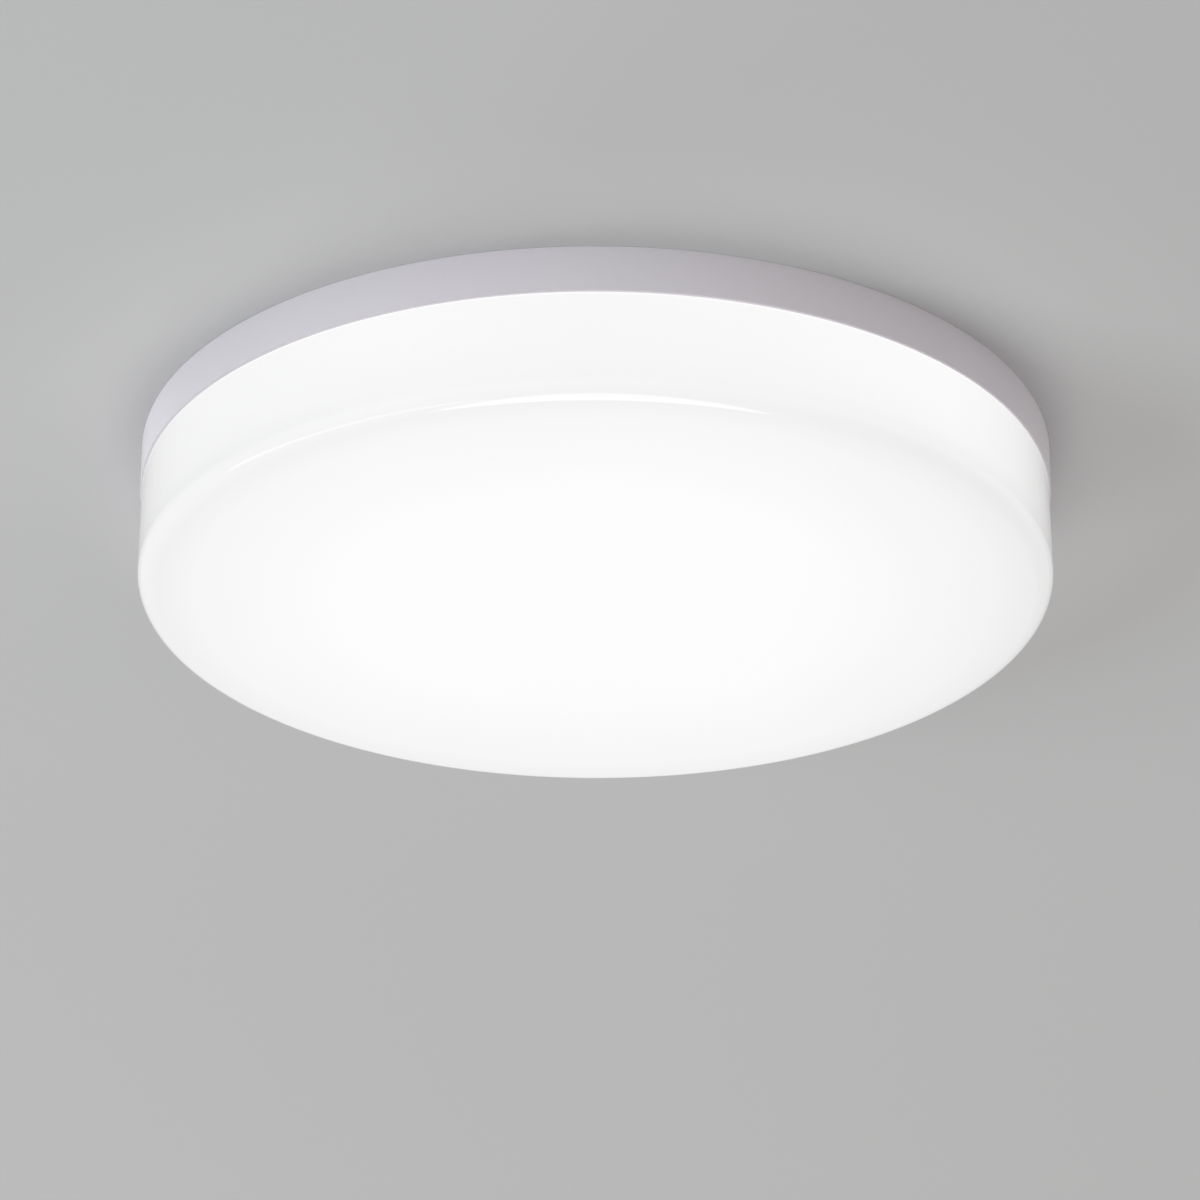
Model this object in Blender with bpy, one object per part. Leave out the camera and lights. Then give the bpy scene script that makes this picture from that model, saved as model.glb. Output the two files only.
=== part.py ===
# A round flush ceiling light: moulded base pan, opal cover on a bayonet, LED board and driver.
# The origin is the centre of the back, on the ceiling. The light hangs down from there, along -Z.

import math

import bmesh
import bpy
from mathutils import Matrix, Vector

mm = 0.001

# Whole light
lamp_radius = 150.9 * mm  # outside of the base band
lamp_height = 50.8 * mm
band_height = 15.6 * mm
piece_gap = 0.3 * mm  # between two pieces that seat on each other
overrun = 1.0 * mm  # how far a cutter reaches past the face it cuts
rib_root = 0.5 * mm  # how deep a rib or a boss is rooted in its floor
root_share = 0.5  # share of an upright wall that a rib is rooted in

# Base pan
pan_floor = 2.4 * mm
skirt_wall = 2.0 * mm
pan_edge = 0.8 * mm  # chamfer at the ceiling
collar_wall = 2.0 * mm
collar_lip = 0.8 * mm  # collar below its ledges
groove_depth = 1.2 * mm
groove_width = 7.0 * mm
groove_margin = 9.0 * mm  # from the rim to the groove
gusset_count = 12
gusset_length = 16.0 * mm
gusset_height = 6.5 * mm
gusset_toe = 1.0 * mm
gusset_wall = 1.6 * mm

# Bayonet between cover and base
tongue_wall = 1.8 * mm
tongue_gap = 0.4 * mm  # running clearance beside the tongue
seal_width = 3.2 * mm
seal_height = 2.8 * mm
lug_setback = 1.4 * mm  # from the tongue's edge to its lugs
lug_height = 2.8 * mm
ledge_height = 2.4 * mm
ledge_reach = 3.2 * mm
stop_setback = 0.3 * mm  # stop ribs stand back from the ledges' rim
bayonet_count = 4
lug_angle = math.radians(14)
ledge_angle = math.radians(16)
twist_angle = math.radians(20)  # from locked to free
stop_angle = math.radians(1.2)

# Opal cover
cover_wall = 1.8 * mm
band_step = 0.65 * mm  # how far the band stands proud of the cover
cover_draft = 0.35 * mm  # how much wider it is at its lower end
roll_width = 6.3 * mm
roll_height = 5.2 * mm
shoulder_wall = 2.2 * mm
shoulder_slope = 2.0 * mm

# Mounting slots
slot_share = 0.835  # of the lamp's radius
slot_width = 5.0 * mm
slot_length = 14.0 * mm
slot_rim = 5.0 * mm
pad_height = 3.0 * mm

# Cable entry
entry_share = 0.25  # of the board's radius
entry_radius = 7.3 * mm
entry_recess_radius = 11.0 * mm
entry_recess = 1.2 * mm
grommet_flange = 0.8 * mm
grommet_lip = 1.6 * mm
grommet_bore = 4.2 * mm
grommet_edge = 0.5 * mm

# Screws
screw_radius = 1.35 * mm
screw_head_radius = 2.9 * mm
screw_head_height = 2.0 * mm
screw_tip = 1.2 * mm
screw_tip_share = 0.35  # of the shank's radius
screw_rim_share = 0.45  # of the head's height
screw_crown_share = 0.62  # of the head's radius
pilot_radius = 1.65 * mm
hole_radius = 1.8 * mm
boss_radius = 4.0 * mm
long_bite = 7.0 * mm  # how far a board screw goes into its boss
short_bite = 3.4 * mm
pilot_spare = 0.6 * mm  # hole left past the screw's tip

# Driver
driver_length = 92.0 * mm
driver_width = 40.0 * mm
driver_share = 0.47  # of the board's radius
case_height = 11.4 * mm
case_wall = 1.5 * mm
case_edge = 2.0 * mm
lid_wall = 1.4 * mm
lid_edge = 0.5 * mm
lid_rim = 1.4 * mm
lid_vents = 7
vent_width = 1.6 * mm
vent_length = 16.0 * mm
vent_pitch = 4.0 * mm
ear_length = 9.5 * mm
ear_width = 11.0 * mm
ear_wall = 1.6 * mm
ear_edge = 3.0 * mm
ear_boss_height = 3.4 * mm
ear_share = 0.26  # of the driver's width, from its middle
rail_height = 1.2 * mm
rail_width = 1.8 * mm
mouth_share = 0.27  # of the driver's width, from its middle
mouth_width = 8.0 * mm
mouth_height = 3.6 * mm

# Driver board and its parts
circuit_wall = 1.4 * mm
circuit_root = 0.3 * mm
transformer_core = (17.0 * mm, 15.0 * mm, 5.6 * mm)
transformer_coil = (9.0 * mm, 19.0 * mm, 4.2 * mm)
transformer_edge = 0.6 * mm
transformer_shares = (-0.02, -0.06)  # of the driver's length and width
capacitor_radius = 2.7 * mm
capacitor_length = 14.0 * mm
capacitor_crimp = 0.35 * mm
capacitor_collar = 1.6 * mm
capacitor_shares = (0.22, 0.08)
small_parts = (  # place by shares of the driver's length and width, then size
    ((-0.30, -0.12), (7.0 * mm, 9.0 * mm, 4.6 * mm)),
    ((-0.20, 0.22), (5.0 * mm, 5.0 * mm, 3.0 * mm)),
    ((-0.33, -0.34), (9.0 * mm, 3.6 * mm, 3.4 * mm)),
    ((0.14, -0.27), (8.0 * mm, 5.0 * mm, 2.2 * mm)),
    ((0.28, -0.22), (7.0 * mm, 7.0 * mm, 4.2 * mm)),
    ((0.39, -0.22), (5.0 * mm, 8.0 * mm, 3.0 * mm)),
)

# LED board
wiring_margin = 28.9 * mm  # between the board's edge and the collar
driver_air = 2.0 * mm  # between the driver's lid and the board
board_wall = 1.2 * mm
board_screw_share = 0.80  # of the board's radius
board_screws = 5
led_size = (3.5 * mm, 2.8 * mm, 0.8 * mm)
led_ring_shares = (0.20, 0.43, 0.66, 0.89)
led_ring_counts = (6, 12, 20, 28)
led_margin = 2.0 * mm  # kept between a package and the notch
notch_width = 42.0 * mm
notch_share = 0.72  # of the board's radius, its inner edge
notch_round = 5.0 * mm
connector_size = (9.5 * mm, 7.6 * mm, 4.4 * mm)
connector_margin = 2.0 * mm
connector_latch = (4.0 * mm, 3.0 * mm, 0.8 * mm)
connector_depth = 5.0 * mm
socket_radius = 1.25 * mm

# Terminal block
terminal_share = 0.85  # of the board's radius
terminal_size = (26.0 * mm, 17.0 * mm, 12.0 * mm)
terminal_pitch = 13.0 * mm
terminal_edge = 0.8 * mm
plinth_height = 3.0 * mm
plinth_rim = 1.0 * mm
barrel_side = 5.0 * mm
barrel_setback = 1.3 * mm  # of its ends behind the block's faces
barrel_height = 4.6 * mm  # of its axis over the block's foot
barrel_bore = 1.6 * mm
barrel_screw_end = 3.2 * mm  # from its end to its screw
barrel_thread = 1.3 * mm
well_radius = 2.3 * mm
terminal_screw_radius = 1.0 * mm
terminal_screw_head = 1.9 * mm
terminal_screw_height = 1.7 * mm
fixing_well = 6.0 * mm  # depth of the fixing screw's well
fixing_well_radius = 3.2 * mm

# Cord clamp
clamp_share = 0.50  # of the board's radius
clamp_size = (34.0 * mm, 9.0 * mm, 5.0 * mm)
clamp_end = 5.0 * mm  # from its end to its screw
clamp_boss_height = 5.0 * mm
clamp_arch = 4.4 * mm
clamp_edge = 1.2 * mm

# Leads inside the light
lead_radius = 0.9 * mm
lead_pitch = 3.2 * mm
lead_lay = 0.4 * mm  # under a lead that lies along the floor
mains_shares = ((0.21, 0.62), (0.46, 0.28), (0.60, -0.06))  # route, by the board's radius
output_shares = ((0.58, -0.05), (0.44, 0.25), (0.24, 0.55))
drop_shares = (0.58, -0.25)  # where a lead leaves the floor for the driver

# Facets
turn_steps = 72
boss_steps = 16
screw_steps = 8
small_steps = 8
roll_steps = 6
inner_roll_steps = 3
oblong_steps = 8
ledge_steps = 4
round_steps = 3
lead_steps = 3  # points on each stretch of a lead's route
weld = 0.001 * mm
flat_angle = math.radians(0.05)
sharp_angle = math.radians(28)
upright_share = 0.99

# Levels, down from the ceiling
floor_face = -pan_floor
root_level = floor_face + rib_root
seal_top = floor_face - piece_gap
seal_face = seal_top - seal_height
tongue_end = seal_face - piece_gap
lug_top = tongue_end - lug_setback
lug_face = lug_top - lug_height
ledge_top = lug_face - piece_gap
ledge_face = ledge_top - ledge_height
collar_face = ledge_face - collar_lip
seam = -band_height
cover_top = seam - piece_gap
cover_face = -lamp_height
pad_face = floor_face - pad_height
case_top = floor_face - piece_gap
case_mouth = case_top - case_height
lid_top = case_mouth - piece_gap
lid_face = lid_top - lid_wall
board_seat = lid_face - driver_air
board_top = board_seat - piece_gap
board_face = board_top - board_wall
ear_seat = floor_face - ear_boss_height
ear_top = ear_seat - piece_gap
ear_face = ear_top - ear_wall
rail_face = case_top - case_wall - rail_height
circuit_top = rail_face - piece_gap
circuit_face = circuit_top - circuit_wall
parts_top = circuit_face - piece_gap
mouth_level = case_mouth + mouth_height / 2
plinth_face = floor_face - plinth_height
terminal_top = plinth_face - piece_gap
terminal_face = terminal_top - terminal_size[2]
barrel_level = terminal_top - barrel_height
clamp_seat = floor_face - clamp_boss_height
clamp_top = clamp_seat - piece_gap
clamp_face = clamp_top - clamp_size[2]
connector_top = board_face - piece_gap
connector_level = connector_top - connector_size[2] / 2
lead_level = floor_face - lead_lay - lead_radius

# Radii, inwards from the rim
skirt_inner = lamp_radius - skirt_wall
seal_outer = skirt_inner - piece_gap
seal_inner = seal_outer - seal_width
tongue_outer = skirt_inner - tongue_gap
tongue_inner = tongue_outer - tongue_wall
ledge_outer = tongue_inner - tongue_gap
collar_outer = ledge_outer - ledge_reach
lug_inner = collar_outer + tongue_gap
collar_root = collar_outer - collar_wall * root_share
collar_inner = collar_outer - collar_wall
groove_outer = lamp_radius - groove_margin
groove_inner = groove_outer - groove_width
cover_upper = lamp_radius - band_step
cover_lower = cover_upper + cover_draft
board_radius = collar_inner - wiring_margin
board_screw_radius = board_radius * board_screw_share
slot_radius = lamp_radius * slot_share

# Places on the pan's floor and in its pieces
barrel_length = terminal_size[1] - 2 * barrel_setback
barrel_screw_spacing = barrel_length - 2 * barrel_screw_end
clamp_reach = clamp_size[0] / 2 - clamp_end
entry_y = board_radius * entry_share
clamp_y = board_radius * clamp_share
terminal_y = board_radius * terminal_share
driver_y = -board_radius * driver_share
ear_x = driver_length / 2 + ear_length / 2
ear_y = driver_y - driver_width * ear_share
notch_y = board_radius * notch_share
plinth_side = terminal_size[0] / 2 + plinth_rim
connector_x = notch_width / 2 + connector_margin + connector_size[0] / 2
connector_y = notch_y + connector_margin + connector_size[1] / 2


def clear_scene():
    for old in list(bpy.data.objects):
        bpy.data.objects.remove(old, do_unlink=True)


def finish(name, colour, roughness, metallic=0.0):
    material = bpy.data.materials.new(name)
    material.use_nodes = True
    shader = material.node_tree.nodes["Principled BSDF"]
    shader.inputs["Base Color"].default_value = (*colour, 1.0)
    shader.inputs["Roughness"].default_value = roughness
    shader.inputs["Metallic"].default_value = metallic
    material.diffuse_color = (*colour, 1.0)
    return material


def mesh_from(name, bm):
    """The bmesh as a mesh, facing out, smooth where it is round and sharp at its edges."""
    bmesh.ops.remove_doubles(bm, verts=bm.verts, dist=weld)
    bmesh.ops.recalc_face_normals(bm, faces=bm.faces)
    mesh = bpy.data.meshes.new(name)
    bm.to_mesh(mesh)
    bm.free()
    mesh.shade_smooth()
    mesh.set_sharp_from_angle(angle=sharp_angle)
    return mesh


def add_body(name):
    """The empty on the light's axis that carries one body."""
    body = bpy.data.objects.new(name, None)
    bpy.context.scene.collection.objects.link(body)
    return body


def add_piece(name, data, material, body, place=(0, 0, 0)):
    if not data.materials:
        data.materials.append(material)
    piece = bpy.data.objects.new(name, data)
    bpy.context.scene.collection.objects.link(piece)
    piece.parent = body
    piece.location = place
    return piece


def settle(body):
    """Makes each piece's cuts and joins final, sharpens its edges and evens its shading."""
    for piece in [child for child in body.children if child.type == "MESH"]:
        tools = [modifier.object for modifier in piece.modifiers]
        if tools:
            graph = bpy.context.evaluated_depsgraph_get()
            mesh = bpy.data.meshes.new_from_object(piece.evaluated_get(graph))
            piece.modifiers.clear()
            mesh.name = piece.name
            mesh.shade_smooth()
            mesh.set_sharp_from_angle(angle=sharp_angle)
            piece.data = mesh
        for tool in tools:
            bpy.data.objects.remove(tool, do_unlink=True)
        shading = piece.modifiers.new("even_shading", "WEIGHTED_NORMAL")
        shading.keep_sharp = True


def combine(piece, operation, name, bm):
    """Joins the shapes in the bmesh to the piece, or cuts them out of it."""
    tool = bpy.data.objects.new(name, mesh_from(name, bm))
    bpy.context.scene.collection.objects.link(tool)
    tool.location = piece.location
    tool.hide_render = True
    tool.display_type = "WIRE"
    modifier = piece.modifiers.new(name, "BOOLEAN")
    modifier.operation = operation
    modifier.solver = "EXACT"
    modifier.object = tool


def add_turned(bm, outline, steps, centre=(0, 0, 0), turn=None):
    """A closed outline of (radius, height) points, spun once round its axis."""
    corners = [bm.verts.new((radius, 0, height)) for radius, height in outline]
    sides = [bm.edges.new((corners[i - 1], corners[i])) for i in range(len(corners))]
    off_axis = [edge for edge in sides if max(vert.co.x for vert in edge.verts) > weld]
    before = set(bm.verts) - set(corners)
    bmesh.ops.spin(
        bm,
        geom=off_axis,
        cent=(0, 0, 0),
        axis=(0, 0, 1),
        angle=math.tau,
        steps=steps,
        use_merge=True,
    )
    made = [vert for vert in bm.verts if vert not in before]
    bmesh.ops.remove_doubles(bm, verts=made, dist=weld)
    for edge in [edge for edge in bm.edges if not edge.link_faces]:
        bm.edges.remove(edge)
    made = [vert for vert in bm.verts if vert not in before]
    if turn is not None:
        bmesh.ops.transform(bm, verts=made, matrix=turn)
    bmesh.ops.translate(bm, verts=made, vec=centre)
    bmesh.ops.dissolve_limit(bm, angle_limit=flat_angle, verts=bm.verts, edges=bm.edges)


def turned(outline, steps):
    bm = bmesh.new()
    add_turned(bm, outline, steps)
    return bm


def add_box(bm, size, low, high, centre=(0, 0)):
    """An upright box of a size across X and Y, from one level to another."""
    place = Matrix.Translation((centre[0], centre[1], (low + high) / 2))
    scale = Matrix.Diagonal((size[0], size[1], high - low, 1))
    bmesh.ops.create_cube(bm, size=1, matrix=place @ scale)


def add_rod(bm, radius, low, high, centre=(0, 0), steps=boss_steps):
    bmesh.ops.create_cone(
        bm,
        cap_ends=True,
        segments=steps,
        radius1=radius,
        radius2=radius,
        depth=high - low,
        matrix=Matrix.Translation((centre[0], centre[1], (low + high) / 2)),
    )


def add_cross_rod(bm, radius, axis, start, end, centre, steps=small_steps):
    """A rod that lies along X or Y, from start to end on that axis."""
    turn = Matrix.Rotation(math.pi / 2, 4, "Y" if axis == "X" else "X")
    middle = Vector(centre)
    middle["XY".index(axis)] = (start + end) / 2
    bmesh.ops.create_cone(
        bm,
        cap_ends=True,
        segments=steps,
        radius1=radius,
        radius2=radius,
        depth=end - start,
        matrix=Matrix.Translation(middle) @ turn,
    )


def add_sector(bm, inner, outer, low, high, start, sweep, steps):
    """A block bent round the light's axis, from the start angle over the sweep."""
    corners = [
        bm.verts.new((radius * math.cos(start), radius * math.sin(start), height))
        for radius, height in ((inner, low), (outer, low), (outer, high), (inner, high))
    ]
    bmesh.ops.spin(
        bm,
        geom=[bm.faces.new(corners)],
        cent=(0, 0, 0),
        axis=(0, 0, 1),
        angle=sweep,
        steps=steps,
    )


def add_prism(bm, corners, push):
    """A flat outline of corners, pushed along a vector into a closed solid."""
    face = bm.faces.new([bm.verts.new(corner) for corner in corners])
    pushed = bmesh.ops.extrude_face_region(bm, geom=[face], use_keep_orig=True)["geom"]
    moved = [item for item in pushed if isinstance(item, bmesh.types.BMVert)]
    bmesh.ops.translate(bm, verts=moved, vec=push)


def add_oblong(bm, width, length, low, high, centre):
    """An upright prism with round ends, its length along Y."""
    radius = width / 2
    reach = length / 2 - radius
    corners = []
    for end in (0, 1):
        for step in range(oblong_steps + 1):
            angle = math.pi * (end + step / oblong_steps)
            x = centre[0] + radius * math.cos(angle)
            y = centre[1] + reach * (1 - 2 * end) + radius * math.sin(angle)
            corners.append((x, y, low))
    add_prism(bm, corners, (0, 0, high - low))


def around(count, radius, first=0.0):
    """Evenly spaced places on a circle, each with its angle."""
    for step in range(count):
        angle = first + math.tau * step / count
        yield Vector((radius * math.cos(angle), radius * math.sin(angle))), angle


def round_edges(bm, width, steps, chosen=None):
    bmesh.ops.bevel(
        bm,
        geom=list(bm.edges) if chosen is None else chosen,
        offset=width,
        segments=steps,
        profile=0.5,
        affect="EDGES",
        clamp_overlap=True,
    )


def upright_edges(bm):
    return [
        edge
        for edge in bm.edges
        if abs((edge.verts[0].co - edge.verts[1].co).normalized().z) > upright_share
    ]


def screw_mesh(name, length, radius, head_radius, head_height, steps):
    """A screw driven upwards: the head hangs below its seat at zero, the shank stands above."""
    outline = (
        (0, length),
        (radius * screw_tip_share, length),
        (radius, length - min(screw_tip, length / 2)),
        (radius, 0),
        (head_radius, 0),
        (head_radius, -head_height * screw_rim_share),
        (head_radius * screw_crown_share, -head_height),
        (0, -head_height),
    )
    return mesh_from(name, turned(outline, steps))


def stock_screw(name, length):
    return screw_mesh(
        name, length, screw_radius, screw_head_radius, screw_head_height, screw_steps
    )


def board_screw_places():
    return [place for place, _ in around(board_screws, board_screw_radius, -math.pi / 2)]


def ear_places():
    return [Vector((side * ear_x, ear_y)) for side in (-1, 1)]


def clamp_places():
    return [Vector((side * clamp_reach, clamp_y)) for side in (-1, 1)]


def slot_places():
    return [Vector((side * slot_radius, 0)) for side in (-1, 1)]


def bayonet_angles():
    return [angle for _, angle in around(bayonet_count, 0, math.pi / bayonet_count)]


def base_pan(body):
    outline = (
        (0, 0),
        (groove_inner, 0),
        (groove_inner, -groove_depth),
        (groove_outer, -groove_depth),
        (groove_outer, 0),
        (lamp_radius - pan_edge, 0),
        (lamp_radius, -pan_edge),
        (lamp_radius, seam),
        (skirt_inner, seam),
        (skirt_inner, floor_face),
        (collar_outer, floor_face),
        (collar_outer, collar_face),
        (collar_inner, collar_face),
        (collar_inner, floor_face),
        (0, floor_face),
    )
    white = finish("moulded_white", (0.75, 0.73, 0.75), 0.55)
    pan = add_piece("base_pan", mesh_from("base_pan", turned(outline, turn_steps)), white, body)
    combine(pan, "UNION", "pan_ledges", pan_ledges())
    combine(pan, "UNION", "pan_stops", pan_stops())
    combine(pan, "UNION", "pan_gussets", pan_gussets())
    combine(pan, "UNION", "pan_bosses", pan_bosses())
    combine(pan, "DIFFERENCE", "pan_holes", pan_holes())


def pan_ledges():
    """Bayonet ledges round the collar, which the cover's lugs lie on."""
    bm = bmesh.new()
    sweep = ledge_angle / 2 + lug_angle / 2 + 2 * stop_angle
    for angle in bayonet_angles():
        start = angle - ledge_angle / 2
        add_sector(
            bm, collar_root, ledge_outer, ledge_face, ledge_top, start, sweep, ledge_steps
        )
    return bm


def pan_stops():
    """Ribs that end a lug's turn: one on each ledge where it locks, one where it comes free."""
    bm = bmesh.new()
    inner = collar_outer - collar_wall * root_share / 2
    outer = ledge_outer - stop_setback
    clear = piece_gap / tongue_inner
    locked = lug_angle / 2 + clear
    freed = twist_angle + lug_angle / 2 + clear
    low = ledge_top - ledge_height * root_share
    for angle in bayonet_angles():
        add_sector(bm, inner, outer, low, tongue_end, angle + locked, stop_angle, 1)
        start = angle - freed - stop_angle
        add_sector(bm, inner, outer, low, tongue_end, start, stop_angle, 1)
    return bm


def pan_gussets():
    """Wedges that stiffen the collar, between it and the floor."""
    bm = bmesh.new()
    inner = collar_inner - gusset_length
    outer = collar_inner + collar_wall * root_share / 2
    outline = (
        (inner, root_level),
        (outer, root_level),
        (outer, floor_face - gusset_height),
        (inner, floor_face - gusset_toe),
    )
    for _, angle in around(gusset_count, collar_inner, math.pi / gusset_count):
        out = Vector((math.cos(angle), math.sin(angle), 0))
        across = Vector((-out.y, out.x, 0)) * gusset_wall
        corners = [out * radius + Vector((0, 0, level)) - across / 2 for radius, level in outline]
        add_prism(bm, corners, across)
    return bm


def pan_bosses():
    """Bosses, screw pads and the terminal block's plinth, all standing on the floor."""
    bm = bmesh.new()
    for place in board_screw_places():
        add_rod(bm, boss_radius, board_seat, root_level, place)
    for place in ear_places():
        add_rod(bm, boss_radius, ear_seat, root_level, place)
    for place in clamp_places():
        add_rod(bm, boss_radius, clamp_seat, root_level, place)
    for place in slot_places():
        width = slot_width + 2 * slot_rim
        add_oblong(bm, width, slot_length + 2 * slot_rim, pad_face, root_level, place)
    plinth = [side + 2 * plinth_rim for side in terminal_size[:2]]
    add_box(bm, plinth, plinth_face, root_level, (0, terminal_y))
    return bm


def pan_holes():
    """Pilot holes, the two screw slots and the stepped cable entry."""
    bm = bmesh.new()
    for place in board_screw_places():
        top = board_seat + long_bite + pilot_spare
        add_rod(bm, pilot_radius, board_seat - overrun, top, place, small_steps)
    for place in ear_places():
        top = ear_seat + short_bite + pilot_spare
        add_rod(bm, pilot_radius, ear_seat - overrun, top, place, small_steps)
    for place in clamp_places():
        top = clamp_seat + short_bite + pilot_spare
        add_rod(bm, pilot_radius, clamp_seat - overrun, top, place, small_steps)
    top = plinth_face + short_bite + pilot_spare
    add_rod(bm, pilot_radius, plinth_face - overrun, top, (0, terminal_y), small_steps)
    for place in slot_places():
        add_oblong(bm, slot_width, slot_length, pad_face - overrun, overrun, place)
    entry = (
        (0, overrun),
        (entry_recess_radius, overrun),
        (entry_recess_radius, -entry_recess),
        (entry_radius, -entry_recess),
        (entry_radius, floor_face - overrun),
        (0, floor_face - overrun),
    )
    add_turned(bm, entry, boss_steps, (0, entry_y, 0))
    return bm


def back_gasket(body):
    outline = (
        (groove_inner + piece_gap, 0),
        (groove_outer - piece_gap, 0),
        (groove_outer - piece_gap, piece_gap - groove_depth),
        (groove_inner + piece_gap, piece_gap - groove_depth),
    )
    foam = finish("black_foam", (0.05, 0.05, 0.05), 0.95)
    add_piece("back_gasket", mesh_from("back_gasket", turned(outline, turn_steps)), foam, body)


def seal_ring(body):
    outline = (
        (seal_inner, seal_top),
        (seal_outer, seal_top),
        (seal_outer, seal_face),
        (seal_inner, seal_face),
    )
    rubber = finish("grey_silicone", (0.42, 0.43, 0.44), 0.7)
    add_piece("seal_ring", mesh_from("seal_ring", turned(outline, turn_steps)), rubber, body)


def cable_grommet(body):
    neck = entry_radius - piece_gap
    flange = entry_recess_radius - piece_gap
    flange_face = piece_gap - entry_recess
    flange_back = flange_face + grommet_flange
    lip_top = floor_face - piece_gap
    lip_face = lip_top - grommet_lip
    outline = (
        (grommet_bore, flange_back),
        (flange, flange_back),
        (flange, flange_face),
        (neck, flange_face),
        (neck, lip_top),
        (flange, lip_top),
        (flange - grommet_edge, lip_face),
        (grommet_bore + grommet_edge, lip_face),
        (grommet_bore, lip_face + grommet_edge),
    )
    rubber = finish("black_rubber", (0.03, 0.03, 0.03), 0.75)
    mesh = mesh_from("cable_grommet", turned(outline, boss_steps))
    add_piece("cable_grommet", mesh, rubber, body, (0, entry_y, 0))


def cord_clamp(body, steel):
    """The bar that holds the supply cord down, with an arch for it, on two bosses."""
    bm = bmesh.new()
    height = clamp_size[2]
    add_box(bm, clamp_size, -height, 0)
    round_edges(bm, clamp_edge, round_steps, upright_edges(bm))
    grey = finish("clamp_nylon", (0.62, 0.63, 0.64), 0.5)
    place = (0, clamp_y, clamp_top)
    clamp = add_piece("cord_clamp", mesh_from("cord_clamp", bm), grey, body, place)
    bm = bmesh.new()
    reach = clamp_size[1] / 2 + overrun
    middle = clamp_arch - height * root_share
    add_cross_rod(bm, clamp_arch, "Y", -reach, reach, (0, 0, middle), boss_steps)
    for side in (-1, 1):
        centre = (side * clamp_reach, 0)
        add_rod(bm, hole_radius, -height - overrun, overrun, centre, screw_steps)
    combine(clamp, "DIFFERENCE", "clamp_cuts", bm)
    length = short_bite + clamp_size[2] + 2 * piece_gap
    mesh = stock_screw("clamp_screw", length)
    for number, spot in enumerate(clamp_places(), 1):
        place = (*spot, clamp_face - piece_gap)
        add_piece(f"cord_clamp_screw_{number}", mesh, steel, body, place)


def terminal_block(body, steel):
    """A two-pole block with brass barrels, whose wells open downwards to the fitter."""
    bm = bmesh.new()
    height = terminal_size[2]
    add_box(bm, terminal_size, -height, 0)
    round_edges(bm, terminal_edge, 1, upright_edges(bm))
    white = finish("terminal_nylon", (0.83, 0.83, 0.80), 0.45)
    place = Vector((0, terminal_y, terminal_top))
    block = add_piece("terminal_block", mesh_from("terminal_block", bm), white, body, place)
    channel = barrel_side + 2 * piece_gap
    bm = bmesh.new()
    for side in (-1, 1):
        centre = (side * terminal_pitch / 2, 0)
        low = -barrel_height - channel / 2
        add_box(bm, (channel, terminal_size[1] + 2 * overrun), low, low + channel, centre)
    add_rod(bm, hole_radius, -height - overrun, overrun, (0, 0), screw_steps)
    combine(block, "DIFFERENCE", "terminal_channels", bm)
    bm = bmesh.new()
    add_rod(bm, fixing_well_radius, -height - overrun, fixing_well - height, (0, 0), screw_steps)
    for side in (-1, 1):
        for end in (-1, 1):
            centre = (side * terminal_pitch / 2, end * barrel_screw_spacing / 2)
            add_rod(bm, well_radius, -height - overrun, -barrel_height, centre, screw_steps)
    combine(block, "DIFFERENCE", "terminal_wells", bm)
    head = terminal_face + fixing_well - piece_gap
    mesh = stock_screw("terminal_fixing_screw", plinth_face + short_bite - head)
    add_piece("terminal_fixing_screw", mesh, steel, body, (0, terminal_y, head))


def terminal_barrels(body, steel):
    brass = finish("brass", (0.70, 0.53, 0.25), 0.3, 1.0)
    seat = -barrel_side / 2 - piece_gap
    length = -seat - lead_radius - piece_gap
    screw = screw_mesh(
        "terminal_screw",
        length,
        terminal_screw_radius,
        terminal_screw_head,
        terminal_screw_height,
        small_steps,
    )
    for pole, side in (("live", -1), ("neutral", 1)):
        place = Vector((side * terminal_pitch / 2, terminal_y, barrel_level))
        bm = bmesh.new()
        half = barrel_side / 2
        add_box(bm, (barrel_side, barrel_length), -half, half)
        barrel = add_piece(f"{pole}_barrel", mesh_from("barrel", bm), brass, body, place)
        bm = bmesh.new()
        reach = barrel_length / 2 + overrun
        add_cross_rod(bm, barrel_bore, "Y", -reach, reach, (0, 0, 0), screw_steps)
        combine(barrel, "DIFFERENCE", f"{pole}_bore", bm)
        bm = bmesh.new()
        for number, end in enumerate((-1, 1), 1):
            centre = Vector((0, end * barrel_screw_spacing / 2))
            add_rod(bm, barrel_thread, -half - overrun, 0, centre, small_steps)
            spot = place + Vector((0, centre.y, seat))
            add_piece(f"{pole}_terminal_screw_{number}", screw, steel, body, spot)
        combine(barrel, "DIFFERENCE", f"{pole}_threads", bm)


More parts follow.
